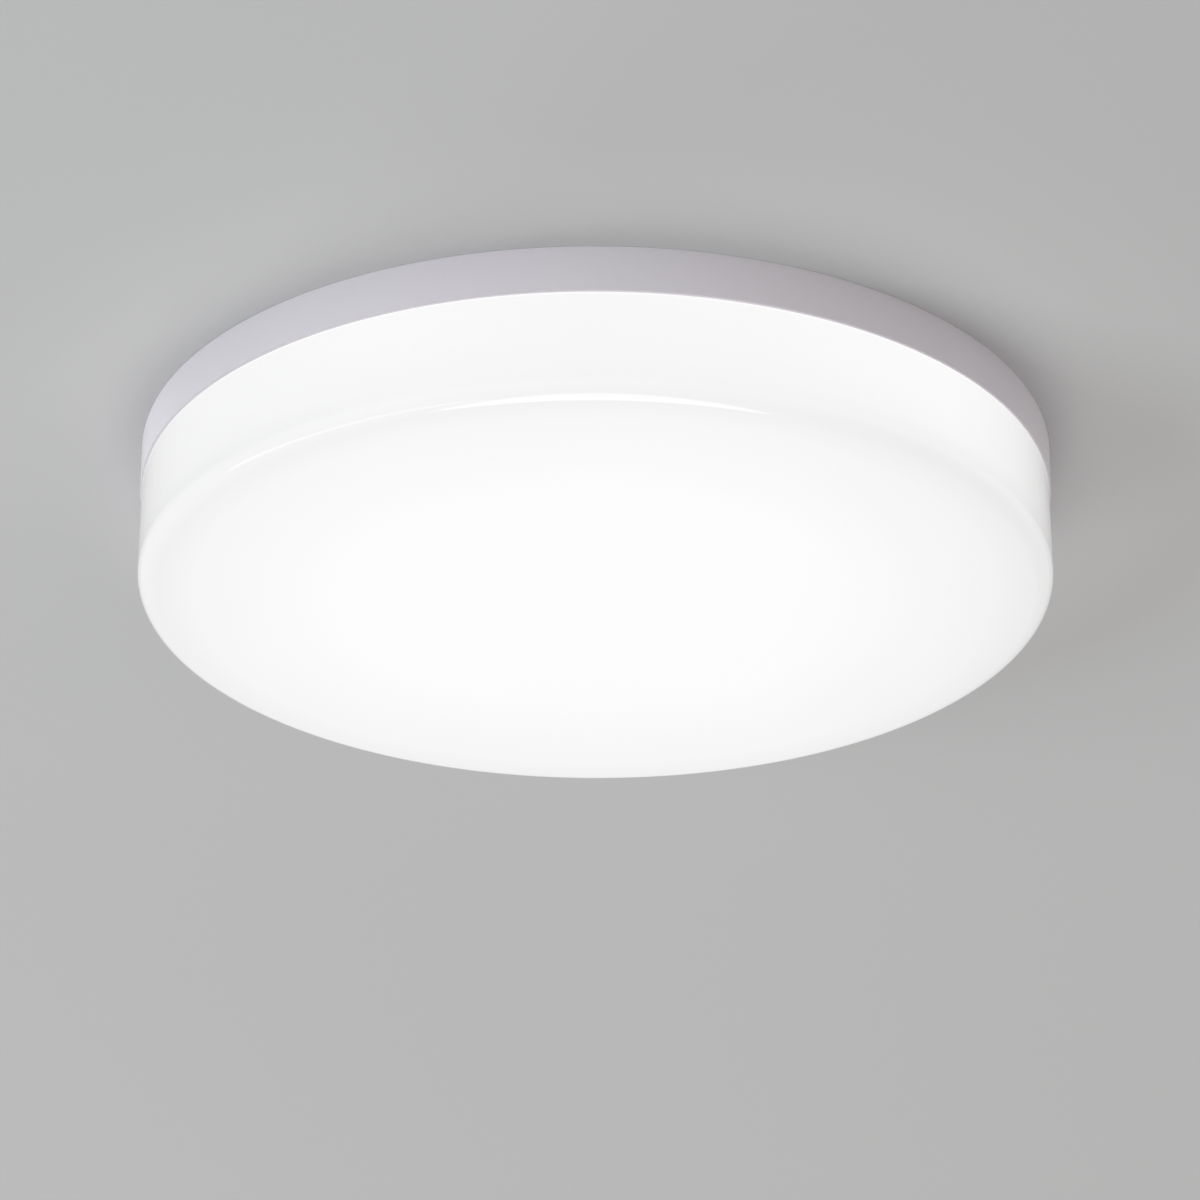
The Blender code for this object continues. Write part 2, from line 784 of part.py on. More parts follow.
def driver_case(body, steel):
    """The driver's tray: floor against the pan, rails for its board, ears, lead mouths."""
    inside = [side - 2 * case_wall for side in (driver_length, driver_width)]
    floor = -case_wall
    bm = bmesh.new()
    add_box(bm, (driver_length, driver_width), -case_height, 0)
    round_edges(bm, case_edge, round_steps, upright_edges(bm))
    white = finish("driver_polycarbonate", (0.78, 0.79, 0.79), 0.4)
    place = (0, driver_y, case_top)
    case = add_piece("driver_case", mesh_from("driver_case", bm), white, body, place)
    bm = bmesh.new()
    add_box(bm, inside, -case_height - overrun, floor)
    combine(case, "DIFFERENCE", "case_hollow", bm)
    bm = bmesh.new()
    reach = inside[0] + 2 * case_wall * root_share
    for side in (-1, 1):
        edge = side * (inside[1] / 2 - rail_width * root_share)
        width = rail_width + 2 * case_wall * root_share
        add_box(bm, (reach, width), floor - rail_height, floor + rib_root, (0, edge))
    combine(case, "UNION", "case_rails", bm)
    bm = bmesh.new()
    drop = ear_top - case_top
    for side in (-1, 1):
        root = case_wall * root_share
        centre = (side * (ear_x - root / 2), ear_y - driver_y)
        add_box(bm, (ear_length + root, ear_width), drop - ear_wall, drop, centre)
    tips = [edge for edge in upright_edges(bm) if abs(edge.verts[0].co.x) > ear_x]
    round_edges(bm, ear_edge, round_steps, tips)
    combine(case, "UNION", "case_ears", bm)
    bm = bmesh.new()
    for side in (-1, 1):
        centre = (side * ear_x, ear_y - driver_y)
        add_rod(bm, hole_radius, drop - ear_wall - overrun, drop + overrun, centre, screw_steps)
        mouth = (side * driver_length / 2, driver_width * mouth_share)
        size = (2 * case_wall + 2 * overrun, mouth_width)
        add_box(bm, size, -case_height - overrun, mouth_height - case_height, mouth)
    combine(case, "DIFFERENCE", "case_holes", bm)
    head = ear_face - piece_gap
    mesh = stock_screw("driver_screw", ear_seat + short_bite - head)
    for number, spot in enumerate(ear_places(), 1):
        add_piece(f"driver_screw_{number}", mesh, steel, body, (*spot, head))
    return white


def driver_lid(body, white):
    """The driver's lid: a vented plate with a locating rim along both long walls."""
    bm = bmesh.new()
    add_box(bm, (driver_length, driver_width), -lid_wall, 0)
    round_edges(bm, case_edge, round_steps, upright_edges(bm))
    lower = [edge for edge in bm.edges if all(v.co.z < -lid_wall / 2 for v in edge.verts)]
    round_edges(bm, lid_edge, 1, lower)
    place = (0, driver_y, lid_top)
    lid = add_piece("driver_lid", mesh_from("driver_lid", bm), white, body, place)
    bm = bmesh.new()
    length = driver_length - 2 * case_wall - 2 * case_edge
    for side in (-1, 1):
        edge = driver_width / 2 - case_wall - piece_gap - case_wall / 2
        add_box(bm, (length, case_wall), -rib_root, lid_rim, (0, side * edge))
    combine(lid, "UNION", "lid_rims", bm)
    bm = bmesh.new()
    for step in range(lid_vents):
        centre = ((step - (lid_vents - 1) / 2) * vent_pitch, 0)
        add_box(bm, (vent_width, vent_length), -lid_wall - overrun, overrun, centre)
    combine(lid, "DIFFERENCE", "lid_vents", bm)


def driver_circuit(body):
    """The driver's circuit board with its small parts, on the case's rails."""
    length = driver_length - 2 * case_wall - 2 * overrun
    width = driver_width - 2 * case_wall - 2 * piece_gap
    bm = bmesh.new()
    add_box(bm, (length, width), -circuit_wall, 0)
    laminate = finish("circuit_laminate", (0.10, 0.28, 0.16), 0.5)
    place = Vector((0, driver_y, circuit_top))
    mesh = mesh_from("driver_circuit_board", bm)
    board = add_piece("driver_circuit_board", mesh, laminate, body, place)
    bm = bmesh.new()
    for shares, size in small_parts:
        centre = (driver_length * shares[0], driver_width * shares[1])
        low = -circuit_wall - size[2]
        add_box(bm, size, low, circuit_root - circuit_wall, centre)
    combine(board, "UNION", "small_parts", bm)


def transformer(body):
    bm = bmesh.new()
    add_box(bm, transformer_core, -transformer_core[2], 0)
    round_edges(bm, transformer_edge, 1)
    ferrite = finish("ferrite", (0.09, 0.09, 0.10), 0.6)
    place = Vector((
        driver_length * transformer_shares[0],
        driver_y + driver_width * transformer_shares[1],
        parts_top,
    ))
    core = add_piece("transformer", mesh_from("transformer", bm), ferrite, body, place)
    bm = bmesh.new()
    middle = -transformer_core[2] / 2
    half = transformer_coil[2] / 2
    add_box(bm, transformer_coil, middle - half, middle + half)
    round_edges(bm, transformer_edge, 1)
    combine(core, "UNION", "transformer_coil", bm)


def capacitor(body):
    """A round can lying on the circuit board, crimped near its lead end."""
    half = capacitor_length / 2
    crimp = half - capacitor_collar
    outline = (
        (0, half),
        (capacitor_radius - capacitor_crimp, half),
        (capacitor_radius, half - capacitor_crimp),
        (capacitor_radius, crimp),
        (capacitor_radius - capacitor_crimp, crimp - capacitor_crimp),
        (capacitor_radius, crimp - 2 * capacitor_crimp),
        (capacitor_radius, capacitor_crimp - half),
        (capacitor_radius - capacitor_crimp, -half),
        (0, -half),
    )
    bm = bmesh.new()
    add_turned(bm, outline, screw_steps, turn=Matrix.Rotation(math.pi / 2, 4, "Y"))
    sleeve = finish("capacitor_sleeve", (0.05, 0.06, 0.09), 0.35)
    place = (
        driver_length * capacitor_shares[0],
        driver_y + driver_width * capacitor_shares[1],
        parts_top - capacitor_radius,
    )
    add_piece("capacitor", mesh_from("capacitor", bm), sleeve, body, place)


def led_places():
    """Each package's place and angle; the rings leave out what would hang over the notch."""
    half = notch_width / 2 + led_size[0] + led_margin
    for share, count in zip(led_ring_shares, led_ring_counts):
        for place, angle in around(count, board_radius * share, math.pi / 2 + math.pi / count):
            if abs(place.x) > half or place.y < notch_y - led_size[0] - led_margin:
                yield place, angle


def board_corners():
    """The disc's outline: round its rim from one side of the notch to the other, then the notch."""
    mouth = math.asin(notch_width / 2 / board_radius)
    sweep = math.tau - 2 * mouth
    for step in range(turn_steps + 1):
        angle = math.pi / 2 + mouth + sweep * step / turn_steps
        yield board_radius * math.cos(angle), board_radius * math.sin(angle), 0
    for side, first in ((1, 0), (-1, math.pi / 2)):
        centre = side * (notch_width / 2 - notch_round)
        for step in range(round_steps + 1):
            angle = first + math.pi / 2 * step / round_steps
            x = centre + notch_round * math.cos(angle)
            yield x, notch_y + notch_round - notch_round * math.sin(angle), 0


def led_board(body, steel):
    """The aluminium disc with its LED packages, notched where the terminal block stands."""
    bm = bmesh.new()
    add_prism(bm, list(board_corners()), (0, 0, -board_wall))
    white = finish("board_white", (0.86, 0.86, 0.84), 0.4)
    mesh = mesh_from("led_board", bm)
    board = add_piece("led_board", mesh, white, body, (0, 0, board_top))
    bm = bmesh.new()
    for place in board_screw_places():
        add_rod(bm, hole_radius, -board_wall - overrun, overrun, place, screw_steps)
    combine(board, "DIFFERENCE", "board_cuts", bm)
    bm = bmesh.new()
    height = led_size[2] + circuit_root
    for place, angle in led_places():
        spot = Matrix.Translation((*place, circuit_root - board_wall - height / 2))
        scale = Matrix.Diagonal((led_size[0], led_size[1], height, 1))
        matrix = spot @ Matrix.Rotation(angle, 4, "Z") @ scale
        bmesh.ops.create_cube(bm, size=1, matrix=matrix)
    combine(board, "UNION", "led_packages", bm)
    head = board_face - piece_gap
    mesh = stock_screw("led_board_screw", board_seat + long_bite - head)
    for number, spot in enumerate(board_screw_places(), 1):
        add_piece(f"led_board_screw_{number}", mesh, steel, body, (*spot, head))


def led_connector(body):
    """The socket on the board that the driver's two output leads plug into, over the notch."""
    bm = bmesh.new()
    add_box(bm, connector_size, -connector_size[2], 0)
    nylon = finish("connector_nylon", (0.82, 0.80, 0.74), 0.45)
    place = (connector_x, connector_y, connector_top)
    mesh = mesh_from("led_connector", bm)
    connector = add_piece("led_connector", mesh, nylon, body, place)
    bm = bmesh.new()
    low = -connector_size[2] - connector_latch[2]
    add_box(bm, connector_latch, low, rib_root - connector_size[2])
    combine(connector, "UNION", "connector_latch", bm)
    bm = bmesh.new()
    start = -connector_size[0] / 2 - overrun
    end = connector_depth - connector_size[0] / 2
    for side in (-1, 1):
        centre = (0, side * lead_pitch / 2, -connector_size[2] / 2)
        add_cross_rod(bm, socket_radius, "X", start, end, centre)
    combine(connector, "DIFFERENCE", "connector_sockets", bm)


def smooth_route(points):
    """Points along one smooth curve through the route's own points."""
    line = [Vector(point) for point in points]
    line = [2 * line[0] - line[1], *line, 2 * line[-1] - line[-2]]
    route = []
    for a, b, c, d in zip(line, line[1:], line[2:], line[3:]):
        for step in range(lead_steps):
            t = step / lead_steps
            pull = (c - a) * t + (2 * a - 5 * b + 4 * c - d) * t**2 + (3 * b - a - 3 * c + d) * t**3
            route.append(b + pull / 2)
    return [*route, line[-2]]


def add_lead(name, points, material, body):
    route = smooth_route(points)
    curve = bpy.data.curves.new(name, "CURVE")
    curve.dimensions = "3D"
    curve.bevel_depth = lead_radius
    curve.bevel_resolution = 2
    curve.use_fill_caps = True
    spline = curve.splines.new("POLY")
    spline.points.add(len(route) - 1)
    for point, place in zip(spline.points, route):
        point.co = (*place, 1)
    add_piece(name, curve, material, body)


def driver_end(side, row):
    """A lead's last stretch into the driver: to its mouth, through it and down to the board."""
    y = driver_y + driver_width * mouth_share + row * lead_pitch / 2
    end = driver_length / 2
    pad = circuit_face - piece_gap - lead_radius
    return [
        (side * (end + case_wall), y, mouth_level),
        (side * (end - 2 * case_wall), y, mouth_level),
        (side * (end - 2 * case_wall - lead_pitch), y, (mouth_level + pad) / 2),
        (side * (end - 2 * case_wall - 3 * lead_pitch), y, pad),
    ]


def floor_places(shares, side, out):
    """A lead's places along the floor, set outwards by its row."""
    return [(side * (board_radius * x + out), board_radius * y, lead_level) for x, y in shares]


def lead_drop(side, out):
    x, y = [board_radius * share for share in drop_shares]
    return (side * (x + out), y - out / 2, (lead_level + mouth_level) / 2)


def mains_leads(body):
    """Two leads from the block's far side, round it and along the floor to the driver."""
    mouth = terminal_y + terminal_size[1] / 2
    for pole, side, row, colour in (
        ("live", -1, 1, (0.33, 0.14, 0.05)),
        ("neutral", 1, -1, (0.05, 0.16, 0.50)),
    ):
        out = (1 - row) * lead_pitch / 2
        x = side * terminal_pitch / 2
        corner = plinth_side + 2 * lead_pitch
        crest = mouth + 2 * lead_pitch + out
        points = [
            (x, terminal_y, barrel_level),
            (x, mouth, barrel_level),
            (x - lead_pitch * (1 + side) / 2, crest - lead_pitch / 2, barrel_level),
            (-corner + lead_pitch, crest + lead_pitch / 3, (barrel_level + lead_level) / 2),
            (-corner - lead_pitch - out, mouth - lead_pitch, lead_level),
            *floor_places(mains_shares, -1, out),
            lead_drop(-1, out),
            *driver_end(-1, row),
        ]
        material = finish(f"{pole}_insulation", colour, 0.4)
        add_lead(f"{pole}_lead", points, material, body)


def output_leads(body):
    """Two leads from the driver along the floor, up through the notch, into the connector."""
    for pole, row, colour in (
        ("positive", 1, (0.55, 0.04, 0.03)),
        ("negative", -1, (0.03, 0.03, 0.03)),
    ):
        out = (1 - row) * lead_pitch / 2
        y = connector_y + row * lead_pitch / 2
        riser = (plinth_side + notch_width / 2) / 2 - row * lead_pitch / 2
        socket = connector_x - connector_size[0] / 2
        points = [
            *reversed(driver_end(1, row)),
            lead_drop(1, out),
            *floor_places(output_shares, 1, out),
            (riser, y - 2 * lead_pitch, lead_level - lead_pitch),
            (riser, y, (lead_level + board_top) / 2),
            (riser, y, board_face),
            (riser + 2 * lead_radius, y, connector_level),
            (socket + connector_depth / 2, y, connector_level),
        ]
        material = finish(f"{pole}_insulation", colour, 0.4)
        add_lead(f"led_{pole}_lead", points, material, body)


def roll(width, height, start, steps):
    """A quarter ellipse from the wall round to the flat face."""
    for step in range(1, steps + 1):
        angle = math.pi / 2 * step / steps
        yield (
            start[0] - width * (1 - math.cos(angle)),
            start[1] - height * math.sin(angle),
        )


def diffuser(body):
    """The opal cover: tongue with inward lugs, straight wall, rolled edge and flat face."""
    outer_start = (cover_lower, cover_face + roll_height)
    inner_start = (cover_lower - cover_wall, cover_face + roll_height)
    inner_roll = [
        inner_start,
        *roll(
            roll_width - cover_wall, roll_height - cover_wall, inner_start, inner_roll_steps
        ),
    ]
    outline = [
        (cover_upper, cover_top),
        outer_start,
        *roll(roll_width, roll_height, outer_start, roll_steps),
        (0, cover_face),
        (0, cover_face + cover_wall),
        *reversed(inner_roll),
        (cover_upper - cover_wall, cover_top - shoulder_wall - shoulder_slope),
        (tongue_inner, cover_top - shoulder_wall),
        (tongue_inner, tongue_end),
        (tongue_outer, tongue_end),
        (tongue_outer, cover_top),
    ]
    opal = finish("opal_acrylic", (0.93, 0.93, 0.92), 0.25)
    cover = add_piece("diffuser", mesh_from("diffuser", turned(outline, turn_steps)), opal, body)
    bm = bmesh.new()
    outer = tongue_inner + tongue_wall * root_share
    for angle in bayonet_angles():
        start = angle - lug_angle / 2
        add_sector(bm, lug_inner, outer, lug_face, lug_top, start, lug_angle, ledge_steps)
    combine(cover, "UNION", "cover_lugs", bm)


def main():
    clear_scene()
    base = add_body("base")
    cover = add_body("cover")
    steel = finish("zinc_plated_steel", (0.62, 0.62, 0.60), 0.35, 1.0)
    base_pan(base)
    back_gasket(base)
    seal_ring(base)
    cable_grommet(base)
    cord_clamp(base, steel)
    terminal_block(base, steel)
    terminal_barrels(base, steel)
    white = driver_case(base, steel)
    driver_lid(base, white)
    driver_circuit(base)
    transformer(base)
    capacitor(base)
    led_board(base, steel)
    led_connector(base)
    mains_leads(base)
    output_leads(base)
    diffuser(cover)
    settle(base)
    settle(cover)


main()
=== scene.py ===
# Looks of the round flush ceiling light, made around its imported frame.
from math import atan2, copysign, cos, pi, radians, sin, tau

import bmesh
import bpy
from mathutils import Matrix, Vector


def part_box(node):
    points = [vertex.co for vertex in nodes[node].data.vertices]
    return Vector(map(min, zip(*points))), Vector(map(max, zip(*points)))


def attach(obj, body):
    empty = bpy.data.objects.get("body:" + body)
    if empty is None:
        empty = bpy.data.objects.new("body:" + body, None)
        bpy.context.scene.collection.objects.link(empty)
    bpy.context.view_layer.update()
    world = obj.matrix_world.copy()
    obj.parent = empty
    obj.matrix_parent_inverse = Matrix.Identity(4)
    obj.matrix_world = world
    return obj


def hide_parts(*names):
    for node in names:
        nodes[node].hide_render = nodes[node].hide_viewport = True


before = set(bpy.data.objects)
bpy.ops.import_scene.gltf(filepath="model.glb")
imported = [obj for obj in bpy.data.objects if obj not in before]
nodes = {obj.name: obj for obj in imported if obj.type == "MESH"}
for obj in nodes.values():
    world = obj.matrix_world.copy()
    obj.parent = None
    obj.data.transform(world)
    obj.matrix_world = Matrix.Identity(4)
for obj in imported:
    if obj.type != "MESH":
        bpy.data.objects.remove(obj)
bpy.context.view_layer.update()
print("frame loaded:", len(nodes), "nodes")

ringSteps = 180  # round the whole light
postSteps = 32  # round a boss, a screw or a hole
weld = 0.000001
sharpAngle = radians(32)
flatAngle = 0.001  # triangles that bend less than this become one face
overrun = 0.0010  # how far a cutter reaches past what it cuts
finishes = {}  # the materials, by name


# Mesh work that every piece uses
def shaded(mesh):
    mesh.shade_smooth()
    mesh.set_sharp_from_angle(angle=sharpAngle)
    return mesh


def meshOf(name, bm):
    mesh = bpy.data.meshes.new(name)
    bm.to_mesh(mesh)
    bm.free()
    return mesh


def closedMesh(name, bm):
    bmesh.ops.remove_doubles(bm, verts=bm.verts, dist=weld)
    bmesh.ops.recalc_face_normals(bm, faces=bm.faces)
    return shaded(meshOf(name, bm))


def placed(name, data):
    thing = bpy.data.objects.new(name, data)
    bpy.context.scene.collection.objects.link(thing)
    return thing


def newPiece(name, mesh, materials, node, body="base"):
    piece = placed(name, mesh)
    for material in materials:
        mesh.materials.append(finishes[material])
    piece.modifiers.new("evenShading", "WEIGHTED_NORMAL").keep_sharp = True
    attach(piece, body)
    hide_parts(node)


def joined(name, bm, joins=(), cuts=()):  # the shape after its joins and then its cuts
    made = placed(name, closedMesh(name, bm))
    tools = []
    for operation, shapes in (("UNION", joins), ("DIFFERENCE", cuts)):
        for shape in shapes:
            tools.append(placed(name + "Tool", closedMesh(name + "Tool", shape)))
            change = made.modifiers.new(operation, "BOOLEAN")
            change.operation = operation
            change.solver = "EXACT"
            change.object = tools[-1]
    graph = bpy.context.evaluated_depsgraph_get()
    mesh = bpy.data.meshes.new_from_object(made.evaluated_get(graph))
    mesh.name = name
    for helper in [*tools, made]:
        bpy.data.objects.remove(helper, do_unlink=True)
    mesh.materials.clear()
    return shaded(mesh)


def vertsOf(made):  # the corners among what an operator made
    return [item for item in made["geom"] if isinstance(item, bmesh.types.BMVert)]


def spun(bm, shape, angle, steps, merged=False):
    bmesh.ops.spin(
        bm, geom=shape, cent=(0, 0, 0), axis=(0, 0, 1), angle=angle, steps=steps, use_merge=merged
    )


def spinOutline(bm, outline, steps=ringSteps, centre=(0, 0, 0)):  # outline: radius, height
    corners = [bm.verts.new((radius, 0, height)) for radius, height in outline]
    sides = [bm.edges.new((corners[i - 1], corners[i])) for i in range(len(corners))]
    sides = [side for side in sides if max(vert.co.x for vert in side.verts) > weld]
    older = set(bm.verts) - set(corners)
    spun(bm, sides, tau, steps, merged=True)
    made = [vert for vert in bm.verts if vert not in older]
    bmesh.ops.remove_doubles(bm, verts=made, dist=weld)
    loose = [edge for edge in bm.edges if not edge.link_faces]
    bmesh.ops.delete(bm, geom=loose, context="EDGES")
    made = [vert for vert in bm.verts if vert not in older]
    bmesh.ops.translate(bm, verts=made, vec=centre)


def spinSector(bm, inner, outer, low, high, start, sweep, steps):  # a block bent round the axis
    corners = [
        bm.verts.new((radius * cos(start), radius * sin(start), height))
        for radius, height in ((inner, low), (outer, low), (outer, high), (inner, high))
    ]
    spun(bm, [bm.faces.new(corners)], sweep, steps)


def bevelled(bm, chosen, width, segments=2, kind="EDGES"):
    bmesh.ops.bevel(
        bm,
        geom=chosen,
        offset=width,
        segments=segments,
        profile=0.5,
        affect=kind,
        clamp_overlap=kind == "EDGES",
        material=-1,
    )


def spunShape(outline, steps=ringSteps, centre=(0, 0, 0)):
    bm = bmesh.new()
    spinOutline(bm, outline, steps, centre)
    return bm


def roundedOutline(outline, radii, steps=4):  # rounds the corners that have a radius
    bm = bmesh.new()
    corners = [bm.verts.new((x, 0, z)) for x, z in outline]
    bm.faces.new(corners)
    for corner, radius in zip(corners, radii):
        if radius:
            bevelled(bm, [corner], radius, steps, "VERTICES")
    bm.faces.ensure_lookup_table()
    rounded = [(loop.vert.co.x, loop.vert.co.z) for loop in bm.faces[0].loops]
    bm.free()
    return rounded


def quarterRoll(width, height, start, steps):  # a quarter ellipse from a wall to a face
    for step in range(steps + 1):
        angle = pi / 2 * step / steps
        yield start[0] - width * (1 - cos(angle)), start[1] - height * sin(angle)


def addBlock(bm, size, middle):
    scale = Matrix.Diagonal((*size, 1))
    bmesh.ops.create_cube(bm, size=1, matrix=Matrix.Translation(middle) @ scale)


def blockShape(size, middle):
    bm = bmesh.new()
    addBlock(bm, size, middle)
    return bm


def addPost(bm, radius, low, high, centre=(0, 0), steps=postSteps, turn=Matrix.Identity(4)):
    middle = Matrix.Translation((*centre, (low + high) / 2))
    return bmesh.ops.create_cone(
        bm,
        cap_ends=True,
        segments=steps,
        radius1=radius,
        radius2=radius,
        depth=high - low,
        matrix=middle @ turn,
    )["verts"]


def addOblong(bm, width, length, low, high, centre):  # round ends, its length along Y
    made = addPost(bm, width / 2, low, high, centre, 2 * postSteps)
    reach = (length - width) / 2
    for vert in made:
        vert.co.y += -reach if vert.co.y - centre[1] < -weld else reach
    return made


def boxed(node):  # a node's box as its size and its middle
    low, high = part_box(node)
    return high - low, (low + high) / 2


def middleOf(node):
    return boxed(node)[1]


def screwPlaces(kind):  # where the screws of a kind stand, seen from below
    for node in sorted(nodes):
        if node.startswith(kind + "_"):
            yield middleOf(node).to_2d()


def rise(edge):
    return abs(edge.verts[0].co.z - edge.verts[1].co.z)


def upright(bm):
    return [edge for edge in bm.edges if rise(edge) > edge.calc_length() - weld]


def level(bm):
    return [edge for edge in bm.edges if rise(edge) < weld]


def creased(bm):  # edges that a sharp bend runs along
    return [e for e in bm.edges if len(e.link_faces) == 2 and e.calc_face_angle() > sharpAngle]


def softened(name, node, width, material, slot):  # the CAD shape with its sharp edges eased
    bm = bmesh.new()
    bm.from_mesh(nodes[node].data)
    bmesh.ops.remove_doubles(bm, verts=bm.verts, dist=2 * weld)
    bmesh.ops.dissolve_limit(bm, angle_limit=flatAngle, verts=bm.verts, edges=bm.edges)
    bevelled(bm, creased(bm), width)
    newPiece(name, closedMesh(name, bm), [material], node)


# Shader work that every finish uses
def feed(node, inputs):  # links what is a socket, sets what is a plain value
    for name, value in inputs.items():
        if isinstance(value, bpy.types.NodeSocket):
            node.id_data.links.new(value, node.inputs[name])
        else:
            node.inputs[name].default_value = value


def put(tree, kind, inputs=None, **settings):
    node = tree.nodes.new(kind)
    for name, value in settings.items():
        setattr(node, name, value)
    feed(node, inputs or {})
    return node


def maths(tree, operation, first, second=0.0, third=0.0):
    inputs = {0: first, 1: second, 2: third}
    return put(tree, "ShaderNodeMath", inputs, operation=operation).outputs[0]


def span(tree, value, ends, levels=(0.0, 1.0), smooth=True):  # a value eased over a span
    inputs = dict(enumerate((value, *ends, *levels)))
    kind = "SMOOTHSTEP" if smooth else "LINEAR"
    return put(tree, "ShaderNodeMapRange", inputs, interpolation_type=kind).outputs["Result"]


def mottle(tree, fac, tones):  # the middle part of a noise spread over these tones
    return span(tree, fac, (0.3, 0.7), tones, smooth=False)


def swing(tree, fac, strength, middle=1.0):  # a noise swinging about this middle
    return maths(tree, "MULTIPLY_ADD", maths(tree, "SUBTRACT", fac, 0.5), strength, middle)


def blended(tree, share, first, second, blend="MIX"):  # sockets 6 and 7 are the colours
    inputs = {0: share, 6: first, 7: second}
    return put(tree, "ShaderNodeMix", inputs, data_type="RGBA", blend_type=blend).outputs[2]


def placeOf(tree):
    return put(tree, "ShaderNodeTexCoord").outputs["Object"]


def scaledPlace(tree, place, scale, centre=(0, 0, 0)):
    inputs = {"Vector": place, "Location": centre, "Scale": scale}
    return put(tree, "ShaderNodeMapping", inputs, vector_type="POINT").outputs["Vector"]


def centredPlace(tree, node):  # measured from a node's middle
    return scaledPlace(tree, placeOf(tree), (1, 1, 1), tuple(-middleOf(node)))


def axesOf(tree, place):
    return put(tree, "ShaderNodeSeparateXYZ", {"Vector": place}).outputs


def reachOf(tree, axes):  # how far out from the light's axis
    flat = put(tree, "ShaderNodeCombineXYZ", {"X": axes["X"], "Y": axes["Y"]}).outputs[0]
    return put(tree, "ShaderNodeVectorMath", {0: flat}, operation="LENGTH").outputs["Value"]


def noise(tree, place, scale, detail=2.0, roughness=0.5):
    inputs = {"Vector": place, "Scale": scale, "Detail": detail, "Roughness": roughness}
    return put(tree, "ShaderNodeTexNoise", inputs).outputs["Fac"]


def newFinish(name, skin, *values):  # a skin lays its nodes and gives the shader's inputs
    material = bpy.data.materials.new(name)
    material.use_nodes = True
    tree = material.node_tree
    feed(tree.nodes["Principled BSDF"], skin(tree, *values))
    finishes[name] = material


def grey(tone):
    return (tone, tone, tone, 1.0)


def rampOf(tree, value, stops):  # greys at given places along a value
    node = put(tree, "ShaderNodeValToRGB", {"Fac": value})
    ramp = node.color_ramp
    for place, _ in stops[1:-1]:
        ramp.elements.new(place)
    for element, (place, tone) in zip(ramp.elements, stops):
        element.position = place
        element.color = grey(tone)
    return node.outputs["Color"]


def newGroup(name, inputs, outputs):
    group = bpy.data.node_groups.new(name, "ShaderNodeTree")
    for way, sockets in (("INPUT", inputs), ("OUTPUT", outputs)):
        for socket in sockets:
            group.interface.new_socket(name=socket, in_out=way, socket_type="NodeSocketFloat")
    return group, group.nodes.new("NodeGroupInput").outputs


def toned(tree, colour, tone):  # the colour made lighter or darker over the surface
    inputs = {0: colour, "Scale": tone}
    return put(tree, "ShaderNodeVectorMath", inputs, operation="SCALE").outputs[0]


def surface(tree, colour, roughness, height, depth):  # with a relief of this depth
    inputs = {"Height": height, "Distance": depth, "Strength": 1.0}
    normal = put(tree, "ShaderNodeBump", inputs).outputs["Normal"]
    return {"Base Color": colour, "Roughness": roughness, "Normal": normal}


# Spark-eroded mould texture with slow changes of tone
mould = {"slowScale": 14.0}


def makeMouldGrain():
    group, given = newGroup("mouldGrain", ("Grain Scale", "Drift", "Speck"), ("Height", "Tone"))
    place = placeOf(group)
    fine = noise(group, place, given["Grain Scale"], detail=3.0)
    drift = swing(group, noise(group, place, mould["slowScale"]), given["Drift"])
    tone = swing(group, fine, given["Speck"], drift)
    put(group, "NodeGroupOutput", {"Height": fine, "Tone": tone})
    return group


# Rolled or turned metal: fine streaks, slow clouding, small handling marks
wear = {
    "stretch": (1.0, 1.0, 7.0),
    "cloudScale": 260.0,
    "cloudRoughness": 0.5,
    "markScale": 700.0,
    "markSpan": (0.58, 0.70),
    "markRoughness": 0.16,
    "depth": 0.000006,
}


def makeMetalWear():
    outputs = ("Height", "Tone", "Roughness")
    group, given = newGroup("metalWear", ("Streak", "Cloud"), outputs)
    place = placeOf(group)
    streak = noise(group, scaledPlace(group, place, wear["stretch"]), given["Streak"])
    cloud = noise(group, place, wear["cloudScale"], detail=3.0)
    marks = noise(group, place, wear["markScale"], detail=4.0, roughness=0.7)
    mark = span(group, marks, wear["markSpan"])
    dull = maths(group, "MULTIPLY", cloud, wear["cloudRoughness"])
    rough = maths(group, "MULTIPLY_ADD", mark, wear["markRoughness"], dull)
    tone = swing(group, cloud, given["Cloud"])
    put(group, "NodeGroupOutput", {"Height": streak, "Tone": tone, "Roughness": rough})
    return group


mouldGrain = makeMouldGrain()
metalWear = makeMetalWear()

# Moulded finishes: colour, roughness, grain's scale and depth, drift, speck
moulded = {
    "clampNylon": ((0.60, 0.61, 0.62), 0.5, 1500.0, 0.00002, 0.05, 0.08),
    "terminalNylon": ((0.80, 0.80, 0.77), 0.38, 1200.0, 0.00001, 0.03, 0.05),
    "connectorNylon": ((0.80, 0.78, 0.70), 0.42, 1400.0, 0.00001, 0.06, 0.05),
    "driverWhite": ((0.77, 0.78, 0.78), 0.42, 1300.0, 0.00003, 0.03, 0.05),
    "greySilicone": ((0.42, 0.43, 0.44), 0.62, 900.0, 0.00001, 0.10, 0.06),
    "blackRubber": ((0.030, 0.030, 0.031), 0.66, 1100.0, 0.00003, 0.5, 0.3),
    "brownInsulation": ((0.30, 0.13, 0.05), 0.36, 700.0, 0.00001, 0.1, 0.05),
    "blueInsulation": ((0.05, 0.15, 0.48), 0.36, 700.0, 0.00001, 0.1, 0.05),
    "redInsulation": ((0.52, 0.04, 0.03), 0.36, 700.0, 0.00001, 0.1, 0.05),
    "blackInsulation": ((0.03, 0.03, 0.03), 0.36, 700.0, 0.00001, 0.3, 0.05),
}
